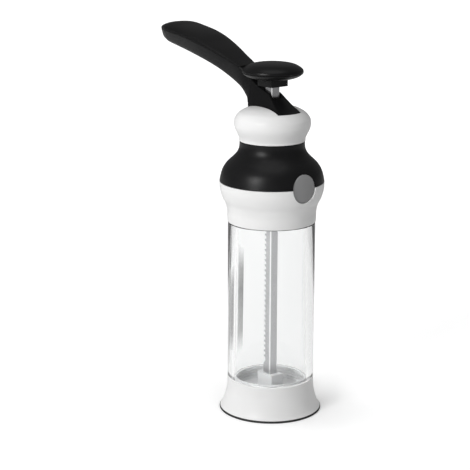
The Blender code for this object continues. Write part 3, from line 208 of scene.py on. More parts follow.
# Lever
PIVOT_X = 0.0115
PIVOT_Z = 0.2095
PIVOT_RADIUS = 0.0016
PIVOT_DROP = 0.0048
LEVER_TRAVEL = radians(11)
DECK_Z = 0.2143
DECK_DEPTH = 0.0019
NOSE_REACH = 0.0207
HEAD_HALF_WIDTH = 0.0094
HEAD_RISE = 0.0127
ARM_HALF_WIDTH = 0.0098
SLOT_HALF_WIDTH = 0.0044
LEVER_REACH = 0.1215
LEVER_RISE = 0.0518
PAD_HALF_WIDTH = 0.0158
ARM_BOTTOM_Z = 0.2015
ARM_BACK_X = -0.0155
POCKET_BACK_X = -0.0142
POCKET_FRONT_X = 0.0160
POCKET_TOP_Z = 0.2130
PAWL_X = -0.0095
PAWL_Z = 0.2060
PAWL_PIN_RADIUS = 0.0012
PAWL_TAIL = 0.0042
PAWL_THICKNESS = 0.0018
HEAD_SHARES = (
    (-1.0, -1.0, 0.03, 0.035, 0.2, 0.17),
    (-0.985, -1.0, 0.035, 0.05, 0.4, 0.36),
    (-0.96, -1.0, 0.045, 0.07, 0.62, 0.6),
    (-0.925, -1.0, 0.055, 0.1, 0.84, 0.82),
    (-0.89, -1.0, 0.07, 0.13, 1.0, 0.97),
    (-0.85, -1.0, 0.1, 0.18, 1.01, 0.96),
    (-0.591, -1.0, 0.362, 0.47, 1.01, 0.85),
    (-0.296, -1.0, 0.732, 0.8, 1.01, 0.69),
    (-0.113, -1.0, 0.961, 1.0, 1.01, 0.6),
    (0.148, -1.0, 1.11, 1.142, 1.01, 0.59),
    (0.394, -1.0, 1.236, 1.268, 1.01, 0.575),
    (0.77, -1.0, 1.55, 1.59, 1.0, 0.59),
    (0.78, 0.9, 1.56, 1.6, 0.98, 0.59),
)
ARM_SHARES = (
    (0.152, 0.036, 0.405, 0.413, 0.487, 0.36),
    (0.165, 0.098, 0.43, 0.438, 0.43, 0.36),
    (0.193, 0.164, 0.483, 0.49, 0.4, 0.37),
    (0.222, 0.233, 0.531, 0.531, 0.411, 0.475),
    (0.272, 0.307, 0.571, 0.571, 0.45, 0.563),
    (0.337, 0.384, 0.625, 0.625, 0.53, 0.633),
    (0.403, 0.453, 0.678, 0.678, 0.62, 0.728),
    (0.494, 0.525, 0.745, 0.745, 0.72, 0.848),
    (0.584, 0.582, 0.795, 0.795, 0.79, 0.937),
    (0.683, 0.635, 0.842, 0.842, 0.83, 0.981),
    (0.782, 0.679, 0.871, 0.871, 0.84, 0.987),
    (0.864, 0.713, 0.886, 0.886, 0.82, 0.962),
    (0.905, 0.738, 0.89, 0.89, 0.745, 0.873),
    (0.942, 0.755, 0.89, 0.89, 0.62, 0.734),
    (0.971, 0.765, 0.878, 0.878, 0.45, 0.53),
    (0.989, 0.778, 0.86, 0.86, 0.3, 0.37),
    (1, 0.8, 0.84, 0.84, 0.12, 0.16),
)
PAD_SHARES = (
    (0.221, 0.531, 0.552, 0.475),
    (0.272, 0.571, 0.597, 0.563),
    (0.337, 0.625, 0.66, 0.633),
    (0.403, 0.678, 0.724, 0.728),
    (0.494, 0.745, 0.801, 0.848),
    (0.584, 0.795, 0.877, 0.937),
    (0.683, 0.842, 0.934, 0.981),
    (0.782, 0.871, 0.972, 0.987),
    (0.864, 0.886, 0.997, 0.962),
    (0.905, 0.89, 0.989, 0.873),
    (0.942, 0.89, 0.967, 0.734),
    (0.971, 0.878, 0.938, 0.53),
    (0.989, 0.86, 0.903, 0.37),
    (1, 0.84, 0.865, 0.16),
)
PAD_POWER = 2.25
PAD_SEAM = 0.0001

# Springs
SPRING_POINTS = 24
LEVER_SPRING = (0.0029, 0.0004, 6, 0.00123, 0.0019)
PAWL_SPRING = (0.0014, 0.0002, 4)
BUTTON_SPRING = (0.0022, 0.0003, 8)
BUTTON_SPRING_DROP = 0.0070
CHEEK_HALF_LENGTH = 0.014


# Geometry helpers.


def spline(points, steps=CURVE_STEPS):
    """Points on a smooth curve through the given ones."""
    out = []
    last = len(points) - 1
    for i in range(last):
        around = (points[max(i - 1, 0)], points[i], points[i + 1], points[min(i + 2, last)])
        for s in range(steps):
            t = s / steps
            out.append(tuple(
                0.5 * (2 * b + (c - a) * t + (2 * a - 5 * b + 4 * c - d) * t ** 2
                       + (3 * b - a - 3 * c + d) * t ** 3)
                for a, b, c, d in zip(*around)
            ))
    return out + [tuple(points[-1])]


def between(shares, start, end):
    """Points from shares of the way between two (radius, height) places."""
    return [(start[0] + (end[0] - start[0]) * r, start[1] + (end[1] - start[1]) * z) for r, z in shares]


def inward(points, wall):
    """A profile moved towards the axis side by a wall."""
    moved = []
    for i, (r, z) in enumerate(points):
        run = Vector(points[min(i + 1, len(points) - 1)]) - Vector(points[max(i - 1, 0)])
        run.normalize()
        moved.append((max(r - wall * run[1], 0.0), z + wall * run[0]))
    return moved


def soften(points, steps=ARC_STEPS):
    """Round the corners of a closed outline. A third value on a point is how far the rounding reaches."""
    out = []
    for i, point in enumerate(points):
        if len(point) < 3:
            out.append(tuple(point))
            continue
        here = Vector(point[:2])
        before = Vector(points[i - 1][:2]) - here
        after = Vector(points[(i + 1) % len(points)][:2]) - here
        start = here + before.normalized() * point[2]
        end = here + after.normalized() * point[2]
        for s in range(steps + 1):
            t = s / steps
            out.append(tuple(start * (1 - t) ** 2 + here * (2 * t * (1 - t)) + end * t ** 2))
    return out


def add_turned(bm, points, steps=TURNS, centre=(0.0, 0.0)):
    """Spin a closed profile of (radius, height) points about Z."""
    rings = []
    for r, z in points:
        if r < TINY:
            rings.append([bm.verts.new((centre[0], centre[1], z))])
            continue
        turns = [2 * pi * i / steps for i in range(steps)]
        rings.append([bm.verts.new((centre[0] + r * cos(t), centre[1] + r * sin(t), z)) for t in turns])
    for first, second in zip(rings, rings[1:] + rings[:1]):
        for i in range(steps):
            j = (i + 1) % steps
            if len(first) == 1 and len(second) == 1:
                continue
            if len(first) == 1:
                bm.faces.new((first[0], second[i], second[j]))
            elif len(second) == 1:
                bm.faces.new((first[i], first[j], second[0]))
            else:
                bm.faces.new((first[i], first[j], second[j], second[i]))


def add_prism(bm, outline, low, high, along="Z"):
    """Extrude an outline along an axis."""
    places = {
        "X": lambda a, b, depth: (depth, a, b),
        "Y": lambda a, b, depth: (a, depth, b),
        "Z": lambda a, b, depth: (a, b, depth),
    }
    rings = [[bm.verts.new(places[along](p[0], p[1], depth)) for p in outline] for depth in (low, high)]
    join_rings(bm, rings)
    bm.faces.new(rings[0])
    bm.faces.new(rings[1][::-1])


def join_rings(bm, rings):
    """Join each ring of vertices to the next one with quads."""
    for first, second in zip(rings, rings[1:]):
        for i in range(len(first)):
            j = (i + 1) % len(first)
            bm.faces.new((first[i], first[j], second[j], second[i]))


def add_loft(bm, sections):
    """A body through a row of sections, capped at both ends."""
    rings = [[bm.verts.new(point) for point in section] for section in sections]
    join_rings(bm, rings)
    bm.faces.new(rings[0][::-1])
    bm.faces.new(rings[-1])


def box_outline(low, high, rounding=0.0):
    """A rectangle, with rounded corners where a rounding is given."""
    corners = ((low[0], low[1]), (high[0], low[1]), (high[0], high[1]), (low[0], high[1]))
    if not rounding:
        return list(corners)
    return soften([(*c, rounding) for c in corners])


def add_box(bm, low, high, rounding=0.0):
    """A box from its lowest corner to its highest one, with rounded upright edges."""
    add_prism(bm, box_outline(low, high, rounding), low[2], high[2])


def circle(radius, centre=(0.0, 0.0), steps=96):
    """Points on a circle."""
    return [
        (centre[0] + radius * cos(2 * pi * i / steps), centre[1] + radius * sin(2 * pi * i / steps))
        for i in range(steps)
    ]


def mesh_object(name, bm):
    """Turn a bmesh into an object of the scene, with its faces pointing out."""
    bmesh.ops.recalc_face_normals(bm, faces=bm.faces)
    mesh = bpy.data.meshes.new(name)
    bm.to_mesh(mesh)
    bm.free()
    obj = bpy.data.objects.new(name, mesh)
    bpy.context.scene.collection.objects.link(obj)
    return obj


def combine(obj, bm, operation):
    """Cut a tool from a piece or join it on, and keep only the result."""
    tool = mesh_object("tool", bm)
    modifier = obj.modifiers.new("tool", "BOOLEAN")
    modifier.operation = operation
    modifier.solver = "EXACT"
    modifier.use_self = True
    modifier.object = tool
    graph = bpy.context.evaluated_depsgraph_get()
    mesh = bpy.data.meshes.new_from_object(obj.evaluated_get(graph))
    obj.modifiers.clear()
    old = obj.data
    obj.data = mesh
    bpy.data.meshes.remove(old)
    bpy.data.objects.remove(tool)


def finish_piece(obj, body, slot, material, *nodes):
    """Shade a piece, give it its material and hang it on its body."""
    if obj.type == "MESH":
        obj.data.shade_smooth()
        obj.data.set_sharp_from_angle(angle=SHARP_ANGLE)
    obj.data.materials.clear()
    obj.data.materials.append(material)
    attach(obj, body)
    if nodes:
        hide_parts(*nodes)
    return obj


# Materials.


def new_material(name):
    material = bpy.data.materials.new(name)
    material.use_nodes = True
    return material, material.node_tree, material.node_tree.nodes["Principled BSDF"]


def placed(tree, stretch=(1.0, 1.0, 1.0)):
    """Object coordinates, stretched along the axes."""
    coordinates = tree.nodes.new("ShaderNodeTexCoord")
    mapping = tree.nodes.new("ShaderNodeMapping")
    mapping.inputs["Scale"].default_value = stretch
    tree.links.new(coordinates.outputs["Object"], mapping.inputs["Vector"])
    return mapping.outputs["Vector"]


def noise(tree, vector, scale, detail=3.0, roughness=0.5):
    node = tree.nodes.new("ShaderNodeTexNoise")
    node.inputs["Scale"].default_value = scale
    node.inputs["Detail"].default_value = detail
    node.inputs["Roughness"].default_value = roughness
    tree.links.new(vector, node.inputs["Vector"])
    return node.outputs["Fac"]


def ranged(tree, value, low, high, start=0.3, end=0.7):
    """Move a value from one range to another."""
    node = tree.nodes.new("ShaderNodeMapRange")
    node.inputs["From Min"].default_value = start
    node.inputs["From Max"].default_value = end
    node.inputs["To Min"].default_value = low
    node.inputs["To Max"].default_value = high
    tree.links.new(value, node.inputs["Value"])
    return node.outputs["Result"]


def mixed(tree, factor, first, second):
    """A colour between two, by a factor. Either may be a socket."""
    node = tree.nodes.new("ShaderNodeMix")
    node.data_type = "RGBA"
    tree.links.new(factor, node.inputs["Factor"])
    for socket, colour in ((node.inputs[6], first), (node.inputs[7], second)):
        if isinstance(colour, tuple):
            socket.default_value = (*colour, 1.0)
        else:
            tree.links.new(colour, socket)
    return node.outputs[2]


def bumped(tree, heights, strengths, distance=0.0001):
    """A chain of bumps."""
    normal = None
    for height, strength in zip(heights, strengths):
        node = tree.nodes.new("ShaderNodeBump")
        node.inputs["Strength"].default_value = strength
        node.inputs["Distance"].default_value = distance
        tree.links.new(height, node.inputs["Height"])
        if normal:
            tree.links.new(normal, node.inputs["Normal"])
        normal = node.outputs["Normal"]
    return normal


def surface(name, colour, shade, rough, metallic=0.0, grain=(2500.0, 0.15), wave=(60.0, 0.05),
            stretch=(1.0, 1.0, 1.0), mottle=45.0, **sockets):
    """A solid surface with broad colour variation, uneven gloss, fine grain and slight waves."""
    material, tree, shader = new_material(name)
    vector = placed(tree)
    drawn = placed(tree, stretch)
    broad = noise(tree, vector, mottle, 4.0, 0.6)
    fine = noise(tree, drawn, grain[0], 2.0)
    waves = noise(tree, drawn, wave[0], 2.0)
    tree.links.new(mixed(tree, ranged(tree, broad, 0.0, 1.0), colour, shade), shader.inputs["Base Color"])
    tree.links.new(ranged(tree, fine, rough[0], rough[1]), shader.inputs["Roughness"])
    normal = bumped(tree, (waves, fine), (wave[1], grain[1]))
    tree.links.new(normal, shader.inputs["Normal"])
    shader.inputs["Metallic"].default_value = metallic
    for socket, value in sockets.items():
        shader.inputs[socket.replace("_", " ")].default_value = value
    return material


def make_materials():
    kinds = {}
    kinds["white_plastic"] = surface(
        "white_satin", (0.80, 0.80, 0.797), (0.787, 0.787, 0.784), (0.30, 0.38),
        Specular_IOR_Level=0.3,
    )
    kinds["black_soft"] = surface(
        "black_soft", (0.0068, 0.0068, 0.0072), (0.0088, 0.0088, 0.0092), (0.33, 0.40),
        grain=(3200.0, 0.15), Specular_IOR_Level=0.2,
    )
    kinds["black_gloss"] = surface(
        "black_satin", (0.0058, 0.0058, 0.0062), (0.0075, 0.0075, 0.0079), (0.30, 0.37),
        grain=(2800.0, 0.12), Specular_IOR_Level=0.2,
    )
    kinds["grey_plastic"] = surface(
        "grey_button", (0.265, 0.265, 0.268), (0.285, 0.285, 0.287), (0.42, 0.52),
        grain=(1800.0, 0.3),
    )
    kinds["grey_frame"] = surface("grey_frame", (0.09, 0.09, 0.095), (0.10, 0.10, 0.104), (0.45, 0.6))
    kinds["foot_ring"] = surface(
        "foot_rubber", (0.018, 0.018, 0.018), (0.026, 0.026, 0.026), (0.65, 0.8), grain=(1500.0, 0.4),
    )
    kinds["steel"] = surface(
        "brushed_steel", (0.56, 0.56, 0.57), (0.48, 0.48, 0.49), (0.26, 0.42), metallic=1.0,
        grain=(2200.0, 0.12), stretch=(1.0, 1.0, 0.05),
    )
    kinds["spring_steel"] = surface(
        "spring_steel", (0.42, 0.42, 0.43), (0.34, 0.34, 0.35), (0.28, 0.4), metallic=1.0,
    )
    kinds["clear_plastic"] = surface(
        "clear_plastic", (0.985, 0.99, 0.99), (0.975, 0.98, 0.98), (0.012, 0.03),
        grain=(500.0, 0.01), wave=(35.0, 0.03), Transmission_Weight=1.0, IOR=1.49,
    )
    kinds["frosted_plastic"] = surface(
        "frosted_plastic", (0.76, 0.765, 0.77), (0.71, 0.715, 0.72), (0.32, 0.45),
        grain=(1400.0, 0.2), Transmission_Weight=0.35, IOR=1.49,
    )
    let_lamps_through(kinds["clear_plastic"])
    kinds["rod_steel_painted_highlight"] = rod_steel_painted_highlight()
    return kinds


def let_lamps_through(material):
    """Let the lamps' light reach what stands inside a clear piece."""
    tree = material.node_tree
    shader, out = tree.nodes["Principled BSDF"], tree.nodes["Material Output"]
    path = tree.nodes.new("ShaderNodeLightPath")
    clear = tree.nodes.new("ShaderNodeBsdfTransparent")
    clear.inputs["Color"].default_value = (0.9, 0.9, 0.9, 1.0)
    mix = tree.nodes.new("ShaderNodeMixShader")
    tree.links.new(path.outputs["Is Shadow Ray"], mix.inputs[0])
    tree.links.new(shader.outputs[0], mix.inputs[1])
    tree.links.new(clear.outputs[0], mix.inputs[2])
    tree.links.new(mix.outputs[0], out.inputs["Surface"])


def rod_steel_painted_highlight():
    """Brushed sheet whose colour is lighter along its two front folds: a painted highlight."""
    material = surface(
        "rod_steel_painted_highlight", (0.54, 0.54, 0.55), (0.46, 0.46, 0.47), (0.28, 0.42), metallic=1.0,
        grain=(2200.0, 0.12), stretch=(1.0, 1.0, 0.05),
    )
    tree = material.node_tree
    shader = tree.nodes["Principled BSDF"]
    base = shader.inputs["Base Color"].links[0].from_socket
    split = tree.nodes.new("ShaderNodeSeparateXYZ")
    tree.links.new(placed(tree), split.inputs[0])
    across = tree.nodes.new("ShaderNodeMath")
    across.operation = "ABSOLUTE"
    tree.links.new(split.outputs["Y"], across.inputs[0])
    sum_up = tree.nodes.new("ShaderNodeMath")
    sum_up.operation = "ADD"
    tree.links.new(split.outputs["X"], sum_up.inputs[0])
    tree.links.new(across.outputs[0], sum_up.inputs[1])
    # Painted highlight: the base colour turns near white along the folded corners.
    corner = 2 * ROD_HALF - ROD_FOLD
    share = ranged(tree, sum_up.outputs[0], 0.0, 1.0, corner, corner + ROD_FOLD / 2)
    tree.links.new(mixed(tree, share, base, (0.95, 0.95, 0.95)), shader.inputs["Base Color"])
    return material


# Pieces.


def foot_ring(kinds):
    bm = bmesh.new()
    edge = FOOT_HEIGHT / 3
    add_turned(bm, soften((
        (FOOT_INNER, 0.0, edge), (FOOT_RADIUS, 0.0, edge), (FOOT_RADIUS, FOOT_HEIGHT, edge),
        (TONGUE_OUTER, FOOT_HEIGHT), (TONGUE_OUTER, TONGUE_TOP), (TONGUE_INNER, TONGUE_TOP),
        (TONGUE_INNER, FOOT_HEIGHT), (FOOT_INNER, FOOT_HEIGHT, edge),
    )))
    finish_piece(mesh_object("foot_ring_soft", bm), "base", "foot_ring", kinds["foot_ring"], "foot_ring")


def base_ring(kinds):
    flare = spline(between(BASE_FLARE[::-1], (BASE_TOP_RADIUS, BASE_BOTTOM), (BASE_RIM_RADIUS, BASE_TOP)))
    flare[0] = (*flare[0], FIT_GAP)
    flare[-1] = (*flare[-1], FIT_GAP)
    groove = FIT_GAP
    points = flare + [
        (TONGUE_OUTER + groove, BASE_BOTTOM), (TONGUE_OUTER + groove, TONGUE_TOP + groove),
        (TONGUE_INNER - groove, TONGUE_TOP + groove), (TONGUE_INNER - groove, BASE_BOTTOM),
        (BASE_SKIRT, BASE_BOTTOM, FIT_GAP),
        (BASE_SKIRT - FOOT_HEIGHT, LEDGE_BOTTOM - 0.002, OVERRUN),
        (NECK_SOCKET + RUN_GAP, LEDGE_BOTTOM, OVERRUN), (LEDGE_INNER, LEDGE_BOTTOM, FIT_GAP),
        (LEDGE_INNER, LEDGE_Z, FIT_GAP), (RECESS, LEDGE_Z), (RECESS, DISC_TOP + FIT_GAP),
        (NECK_SOCKET, DISC_TOP + FIT_GAP), (NECK_SOCKET, BASE_TOP, FIT_GAP),
    ]
    bm = bmesh.new()
    add_turned(bm, soften(points))
    finish_piece(mesh_object("base_ring_flared", bm), "base", "white_plastic", kinds["white_plastic"],
                 "base_ring")


def barrel(kinds):
    edge = RUN_GAP
    bm = bmesh.new()
    add_turned(bm, soften((
        (NECK_RADIUS, BARREL_BOTTOM, edge), (NECK_RADIUS, BARREL_SHOULDER),
        (BARREL_RADIUS, BARREL_SHOULDER, edge), (BARREL_RADIUS, BARREL_TOP_SHOULDER, edge),
        (NECK_RADIUS, BARREL_TOP_SHOULDER), (NECK_RADIUS, BARREL_TOP, edge),
        (BARREL_BORE, BARREL_TOP, edge), (BARREL_BORE, BARREL_BOTTOM, edge),
    )))
    finish_piece(mesh_object("barrel_clear", bm), "barrel", "clear_plastic", kinds["clear_plastic"],
                 "barrel")


def button_hole():
    bm = bmesh.new()
    low = BUTTON_FACE_X - BUTTON_THICKNESS - BUTTON_TRAVEL - SHELL_WALL
    add_prism(bm, circle(BUTTON_RADIUS + FIT_GAP, (0.0, SEAM_Z)), low, HEAD_RADIUS + OVERRUN, "X")
    return bm


def lower_housing(kinds):
    top = SEAM_Z - FIT_GAP / 2
    outer = spline(between(HOUSING_SHARES, (HEAD_BOTTOM_RADIUS, HEAD_BOTTOM), (HEAD_RADIUS, top)))
    plate_seat = 0.0314
    inner = [(r, z) for r, z in inward(outer, SHELL_WALL) if z > 0.1536 and r > plate_seat]
    inner[-1] = (inner[-1][0], top)
    outer[0] = (*outer[0], FIT_GAP)
    outer[-1] = (*outer[-1], FIT_GAP)
    points = outer + inner[::-1] + [
        (plate_seat, 0.1533), (plate_seat, 0.1506), (NECK_SOCKET, 0.1506),
        (NECK_SOCKET, HEAD_BOTTOM, FIT_GAP),
    ]
    bm = bmesh.new()
    add_turned(bm, soften(points))
    shell = mesh_object("lower_housing_shell", bm)
    combine(shell, button_hole(), "DIFFERENCE")
    finish_piece(shell, "head", "white_plastic", kinds["white_plastic"], "lower_housing")


def grip_band(kinds):
    bottom = SEAM_Z + FIT_GAP / 2
    outer = spline(between(BAND_SHARES, (HEAD_RADIUS, bottom), (WAIST_RADIUS, WAIST_Z)))
    inner = inward(outer, SHELL_WALL)
    inner[0] = (inner[0][0], bottom)
    inner[-1] = (inner[-1][0], WAIST_Z)
    outer[0] = (*outer[0], FIT_GAP)
    outer[-1] = (*outer[-1], FIT_GAP)
    bm = bmesh.new()
    add_turned(bm, soften(outer + inner[::-1]))
    band = mesh_object("grip_band_shell", bm)
    combine(band, button_hole(), "DIFFERENCE")
    finish_piece(band, "head", "black_soft", kinds["black_soft"], "grip_band")


def upper_cap(kinds):
    top = CAP_BULGE_Z + CAP_RISE
    neck = between(CAP_NECK_SHARES, (CAP_NECK_RADIUS, CAP_BOTTOM), (CAP_RADIUS, CAP_BULGE_Z))
    dome = between(CAP_DOME_SHARES, (0.0, CAP_BULGE_Z), (CAP_RADIUS, top))
    outer = spline(neck + dome)
    inner = inward(outer, SHELL_WALL)
    inner[0] = (inner[0][0], CAP_BOTTOM)
    inner[-1] = (0.0, inner[-1][1])
    outer[0] = (*outer[0], FIT_GAP)
    bm = bmesh.new()
    add_turned(bm, soften(outer + inner[::-1]))
    cap = mesh_object("upper_cap_shell", bm)
    corner = asin(CAP_SLOT_HALF / CAP_SLOT_FRONT)
    turns = [corner * (2 * i / TURNS - 1) for i in range(0, TURNS + 1, 6)]
    outline = [(-CAP_SLOT_BACK, CAP_SLOT_HALF), (-CAP_SLOT_BACK, -CAP_SLOT_HALF)]
    outline += [(CAP_SLOT_FRONT * cos(t), CAP_SLOT_FRONT * sin(t)) for t in turns]
    slot = bmesh.new()
    add_prism(slot, outline, CAP_BULGE_Z, top + OVERRUN)
    combine(cap, slot, "DIFFERENCE")
    finish_piece(cap, "head", "white_plastic", kinds["white_plastic"], "upper_cap")


def release_button(kinds):
    back = BUTTON_FACE_X - BUTTON_THICKNESS
    edge = 0.0006
    face = [
        (BUTTON_RADIUS * share, BUTTON_THICKNESS - BUTTON_CROWN * share ** 2)
        for share in (1.0, 0.9, 0.8, 0.65, 0.5, 0.35, 0.2, 0.1, 0.0)
    ]
    face[0] = (*face[0], edge)
    bm = bmesh.new()
    add_turned(bm, soften([(0.0, 0.0), (BUTTON_RADIUS, 0.0, FIT_GAP)] + face))
    spin = Matrix.Translation((back, 0.0, SEAM_Z)) @ Matrix.Rotation(pi / 2, 4, "Y")
    bm.transform(spin)
    button = mesh_object("release_button_face", bm)
    stem = bmesh.new()
    add_box(stem, (back - STEM_LENGTH, -STEM_HALF, SEAM_Z - STEM_HALF),
            (back + BUTTON_THICKNESS / 2, STEM_HALF, SEAM_Z + STEM_HALF))
    combine(button, stem, "UNION")
    slot = bmesh.new()
    width = CATCH_TAIL_HALF + FIT_GAP
    add_box(slot, (back - STEM_LENGTH - OVERRUN, -width, CATCH_LOW - FIT_GAP),
            (CATCH_TAIL_END + FIT_GAP, width, CATCH_HIGH + FIT_GAP))
    combine(button, slot, "DIFFERENCE")
    finish_piece(button, "button", "grey_plastic", kinds["grey_plastic"], "release_button")


def rack_rod(kinds):
    half, inner = ROD_HALF, ROD_HALF - ROD_WALL
    small = 0.00015
    outline = soften([
        (-half, -half, small), (half, -half, ROD_FOLD), (half, half, ROD_FOLD), (-half, half, small),
        (-half, inner, small), (inner, inner, FIT_GAP), (inner, -inner, FIT_GAP), (-half, -inner, small),
    ])
    bm = bmesh.new()
    add_prism(bm, outline, ROD_BOTTOM, ROD_TOP)
    rod = mesh_object("rack_rod_folded", bm)
    comb = bmesh.new()
    root = TOOTH_DEPTH - half
    start = [(-half - OVERRUN, TOOTH_START - TOOTH_DEPTH - OVERRUN), (root, TOOTH_START)]
    teeth = []
    for i in range(TOOTH_COUNT):
        ledge = TOOTH_START + TOOTH_PITCH * (i + 1)
        rise = ledge - TOOTH_PITCH * TOOTH_ROOT_SHARE
        teeth += [(root, rise), (-half - small, ledge), (root, ledge + TINY)]
    teeth[-1] = (-half - OVERRUN, ledge)
    add_prism(comb, start + teeth + [(-half - OVERRUN, ledge - TINY)], -half - OVERRUN, half + OVERRUN, "Y")
    combine(rod, comb, "DIFFERENCE")
    finish_piece(rod, "plunger_rod", "steel", kinds["rod_steel_painted_highlight"], "rack_rod")


def plunger(kinds):
    rim = PLUNGER_RADIUS - PLUNGER_WALL
    edge = 0.0004
    wall = [(rim, PLUNGER_TOP, edge)]
    for level in RING_LEVELS[::-1]:
        wall += [
            (rim, level + RING_HEIGHT), (rim + RING_DEPTH, level + RING_HEIGHT),
            (rim + RING_DEPTH, level), (rim, level),
        ]
    points = [
        (0.0, PLUNGER_FLOOR_LOW), (rim, PLUNGER_FLOOR_LOW), (rim, PLUNGER_BOTTOM, FIT_GAP),
        (PLUNGER_RADIUS, PLUNGER_BOTTOM, FIT_GAP), (PLUNGER_RADIUS, PLUNGER_TOP, edge),
    ] + wall + [(rim, PLUNGER_FLOOR_TOP, 2 * edge), (0.0, PLUNGER_FLOOR_TOP)]
    bm = bmesh.new()
    add_turned(bm, soften(points))
    cup = mesh_object("plunger_cup", bm)
    length, width = HUB_LENGTH / 2, HUB_WIDTH / 2
    hub = bmesh.new()
    add_box(hub, (-length, -width, (PLUNGER_FLOOR_LOW + PLUNGER_FLOOR_TOP) / 2),
            (length, width, HUB_TOP), edge)
    combine(cup, hub, "UNION")
    half = ROD_HALF + FIT_GAP
    socket = bmesh.new()
    add_box(socket, (-half, -half, ROD_BOTTOM - FIT_GAP), (half, half, HUB_TOP + OVERRUN))
    combine(cup, socket, "DIFFERENCE")
    bore = bmesh.new()
    add_prism(bore, circle(KNOB_SCREW_RADIUS, steps=32), PLUNGER_FLOOR_LOW - OVERRUN, ROD_BOTTOM)
    combine(cup, bore, "DIFFERENCE")
    finish_piece(cup, "plunger_rod", "frosted_plastic", kinds["frosted_plastic"], "plunger")


def knob_points(shares, height):
    return [(KNOB_RADIUS * r, KNOB_RIM_Z + height * z) for r, z in shares]


def knob(kinds):
    split = KNOB_RIM_Z - KNOB_SPLIT_DROP
    edge = FIT_GAP
    under = spline([(0.0, KNOB_RIM_Z - KNOB_DEPTH)] + knob_points(KNOB_UNDERSIDE_SHARES, -KNOB_DEPTH)
                   + [(KNOB_RADIUS, split)])
    under[-1] = (*under[-1], edge)
    bm = bmesh.new()
    add_turned(bm, soften(under + [(0.0, split)]))
    base = mesh_object("knob_base_round", bm)
    collar = bmesh.new()
    add_box(collar, (-COLLAR_HALF, -COLLAR_HALF, COLLAR_BOTTOM),
            (COLLAR_HALF, COLLAR_HALF, KNOB_RIM_Z - KNOB_DEPTH / 2), COLLAR_ROUND)
    combine(base, collar, "UNION")
    half = ROD_HALF + FIT_GAP
    socket = bmesh.new()
    add_box(socket, (-half, -half, COLLAR_BOTTOM - OVERRUN), (half, half, ROD_TOP + FIT_GAP))
    combine(base, socket, "DIFFERENCE")
    bore = bmesh.new()
    add_prism(bore, circle(KNOB_SCREW_RADIUS, steps=32), ROD_TOP, split + OVERRUN)
    combine(base, bore, "DIFFERENCE")
    finish_piece(base, "plunger_rod", "black_gloss", kinds["black_gloss"], "knob_base")
    low = split + FIT_GAP
    top = spline(knob_points(KNOB_TOP_SHARES, KNOB_RISE))
    hollow, hollow_top = 0.003, low + 0.0016
    points = [(hollow, low), (KNOB_RADIUS, low, edge)] + top + [(0.0, hollow_top), (hollow, hollow_top)]
    bm = bmesh.new()
    add_turned(bm, soften(points))
    finish_piece(mesh_object("knob_cover_round", bm), "plunger_rod", "black_gloss",
                 kinds["black_gloss"], "knob_cover")


def monotone(stations, places):
    """Values between stations on smooth curves that never overshoot. Stations go by their first value."""
    keys = [s[0] for s in stations]
    gaps = [b - a for a, b in zip(keys, keys[1:])]
    out = [[x] for x in places]
    for channel in range(1, len(stations[0])):
        values = [s[channel] for s in stations]
        slopes = [(b - a) / gap for a, b, gap in zip(values, values[1:], gaps)]
        ends = [slopes[0]]
        for before, after in zip(slopes, slopes[1:]):
            steady = before * after > 0
            ends.append(2 * before * after / (before + after) if steady else 0.0)
        ends.append(slopes[-1])
        for row, x in zip(out, places):
            i = max(0, min(len(gaps) - 1, sum(1 for key in keys if key <= x) - 1))
            t = (x - keys[i]) / gaps[i]
            row.append(
                values[i] * (1 + 2 * t) * (1 - t) ** 2 + values[i + 1] * t ** 2 * (3 - 2 * t)
                + gaps[i] * (ends[i] * t * (1 - t) ** 2 + ends[i + 1] * t ** 2 * (t - 1))
            )
    return out


def frame_stations():
    """The lever's stations as (distance to the back, low, edge, crown, low half width, edge half width)."""
    head = [
        (along * NOSE_REACH, DECK_Z + low * DECK_DEPTH, DECK_Z + edge * HEAD_RISE,
         DECK_Z + crown * HEAD_RISE, low_half * HEAD_HALF_WIDTH, edge_half * HEAD_HALF_WIDTH)
        for along, low, edge, crown, low_half, edge_half in HEAD_SHARES
    ]
    arm = [
        (along * LEVER_REACH, DECK_Z + low * LEVER_RISE, DECK_Z + edge * LEVER_RISE,
         DECK_Z + crown * LEVER_RISE, low_half * PAD_HALF_WIDTH, edge_half * PAD_HALF_WIDTH)
        for along, low, edge, crown, low_half, edge_half in ARM_SHARES
    ]
    return head + arm


def finer(stations, pieces):
    """Places along the stations, with each stretch split so that none is longer than a share."""
    keys = [s[0] for s in stations]
    longest = (keys[-1] - keys[0]) / pieces
    places = []
    for a, b in zip(keys, keys[1:]):
        count = max(1, round((b - a) / longest))
        places += [a + (b - a) * i / count for i in range(count)]
    return places + [keys[-1]]


def bend(points, reaches, steps=3):
    """Round the inner points of an open line, each by its own reach."""
    out = [points[0]]
    for i in range(1, len(points) - 1):
        here = Vector(points[i])
        before, after = Vector(points[i - 1]) - here, Vector(points[i + 1]) - here
        start = here + before.normalized() * min(reaches[i - 1], before.length * 0.45)
        end = here + after.normalized() * min(reaches[i - 1], after.length * 0.45)
        for s in range(steps + 1):
            t = s / steps
            out.append(tuple(start * (1 - t) ** 2 + here * (2 * t * (1 - t)) + end * t ** 2))
    return out + [points[-1]]


def lever_section(back, low, edge, crown, low_half, edge_half):
    """One upright section across the lever, with rounded lower corners and a crowned top."""
    side = bend([
        (0.0, low), (0.8 * low_half, low), (low_half, low + 0.18 * (edge - low)), (edge_half, edge),
        (0.5 * edge_half, edge + 0.75 * (crown - edge)), (0.0, crown),
    ], (0.0015, 0.0025, 0.0005, 0.002))
    right = [(-back, y, z) for y, z in side[1:-1]]
    left = [(-back, -y, z) for y, z in reversed(side[1:-1])]
    return right + [(-back, 0.0, crown)] + left


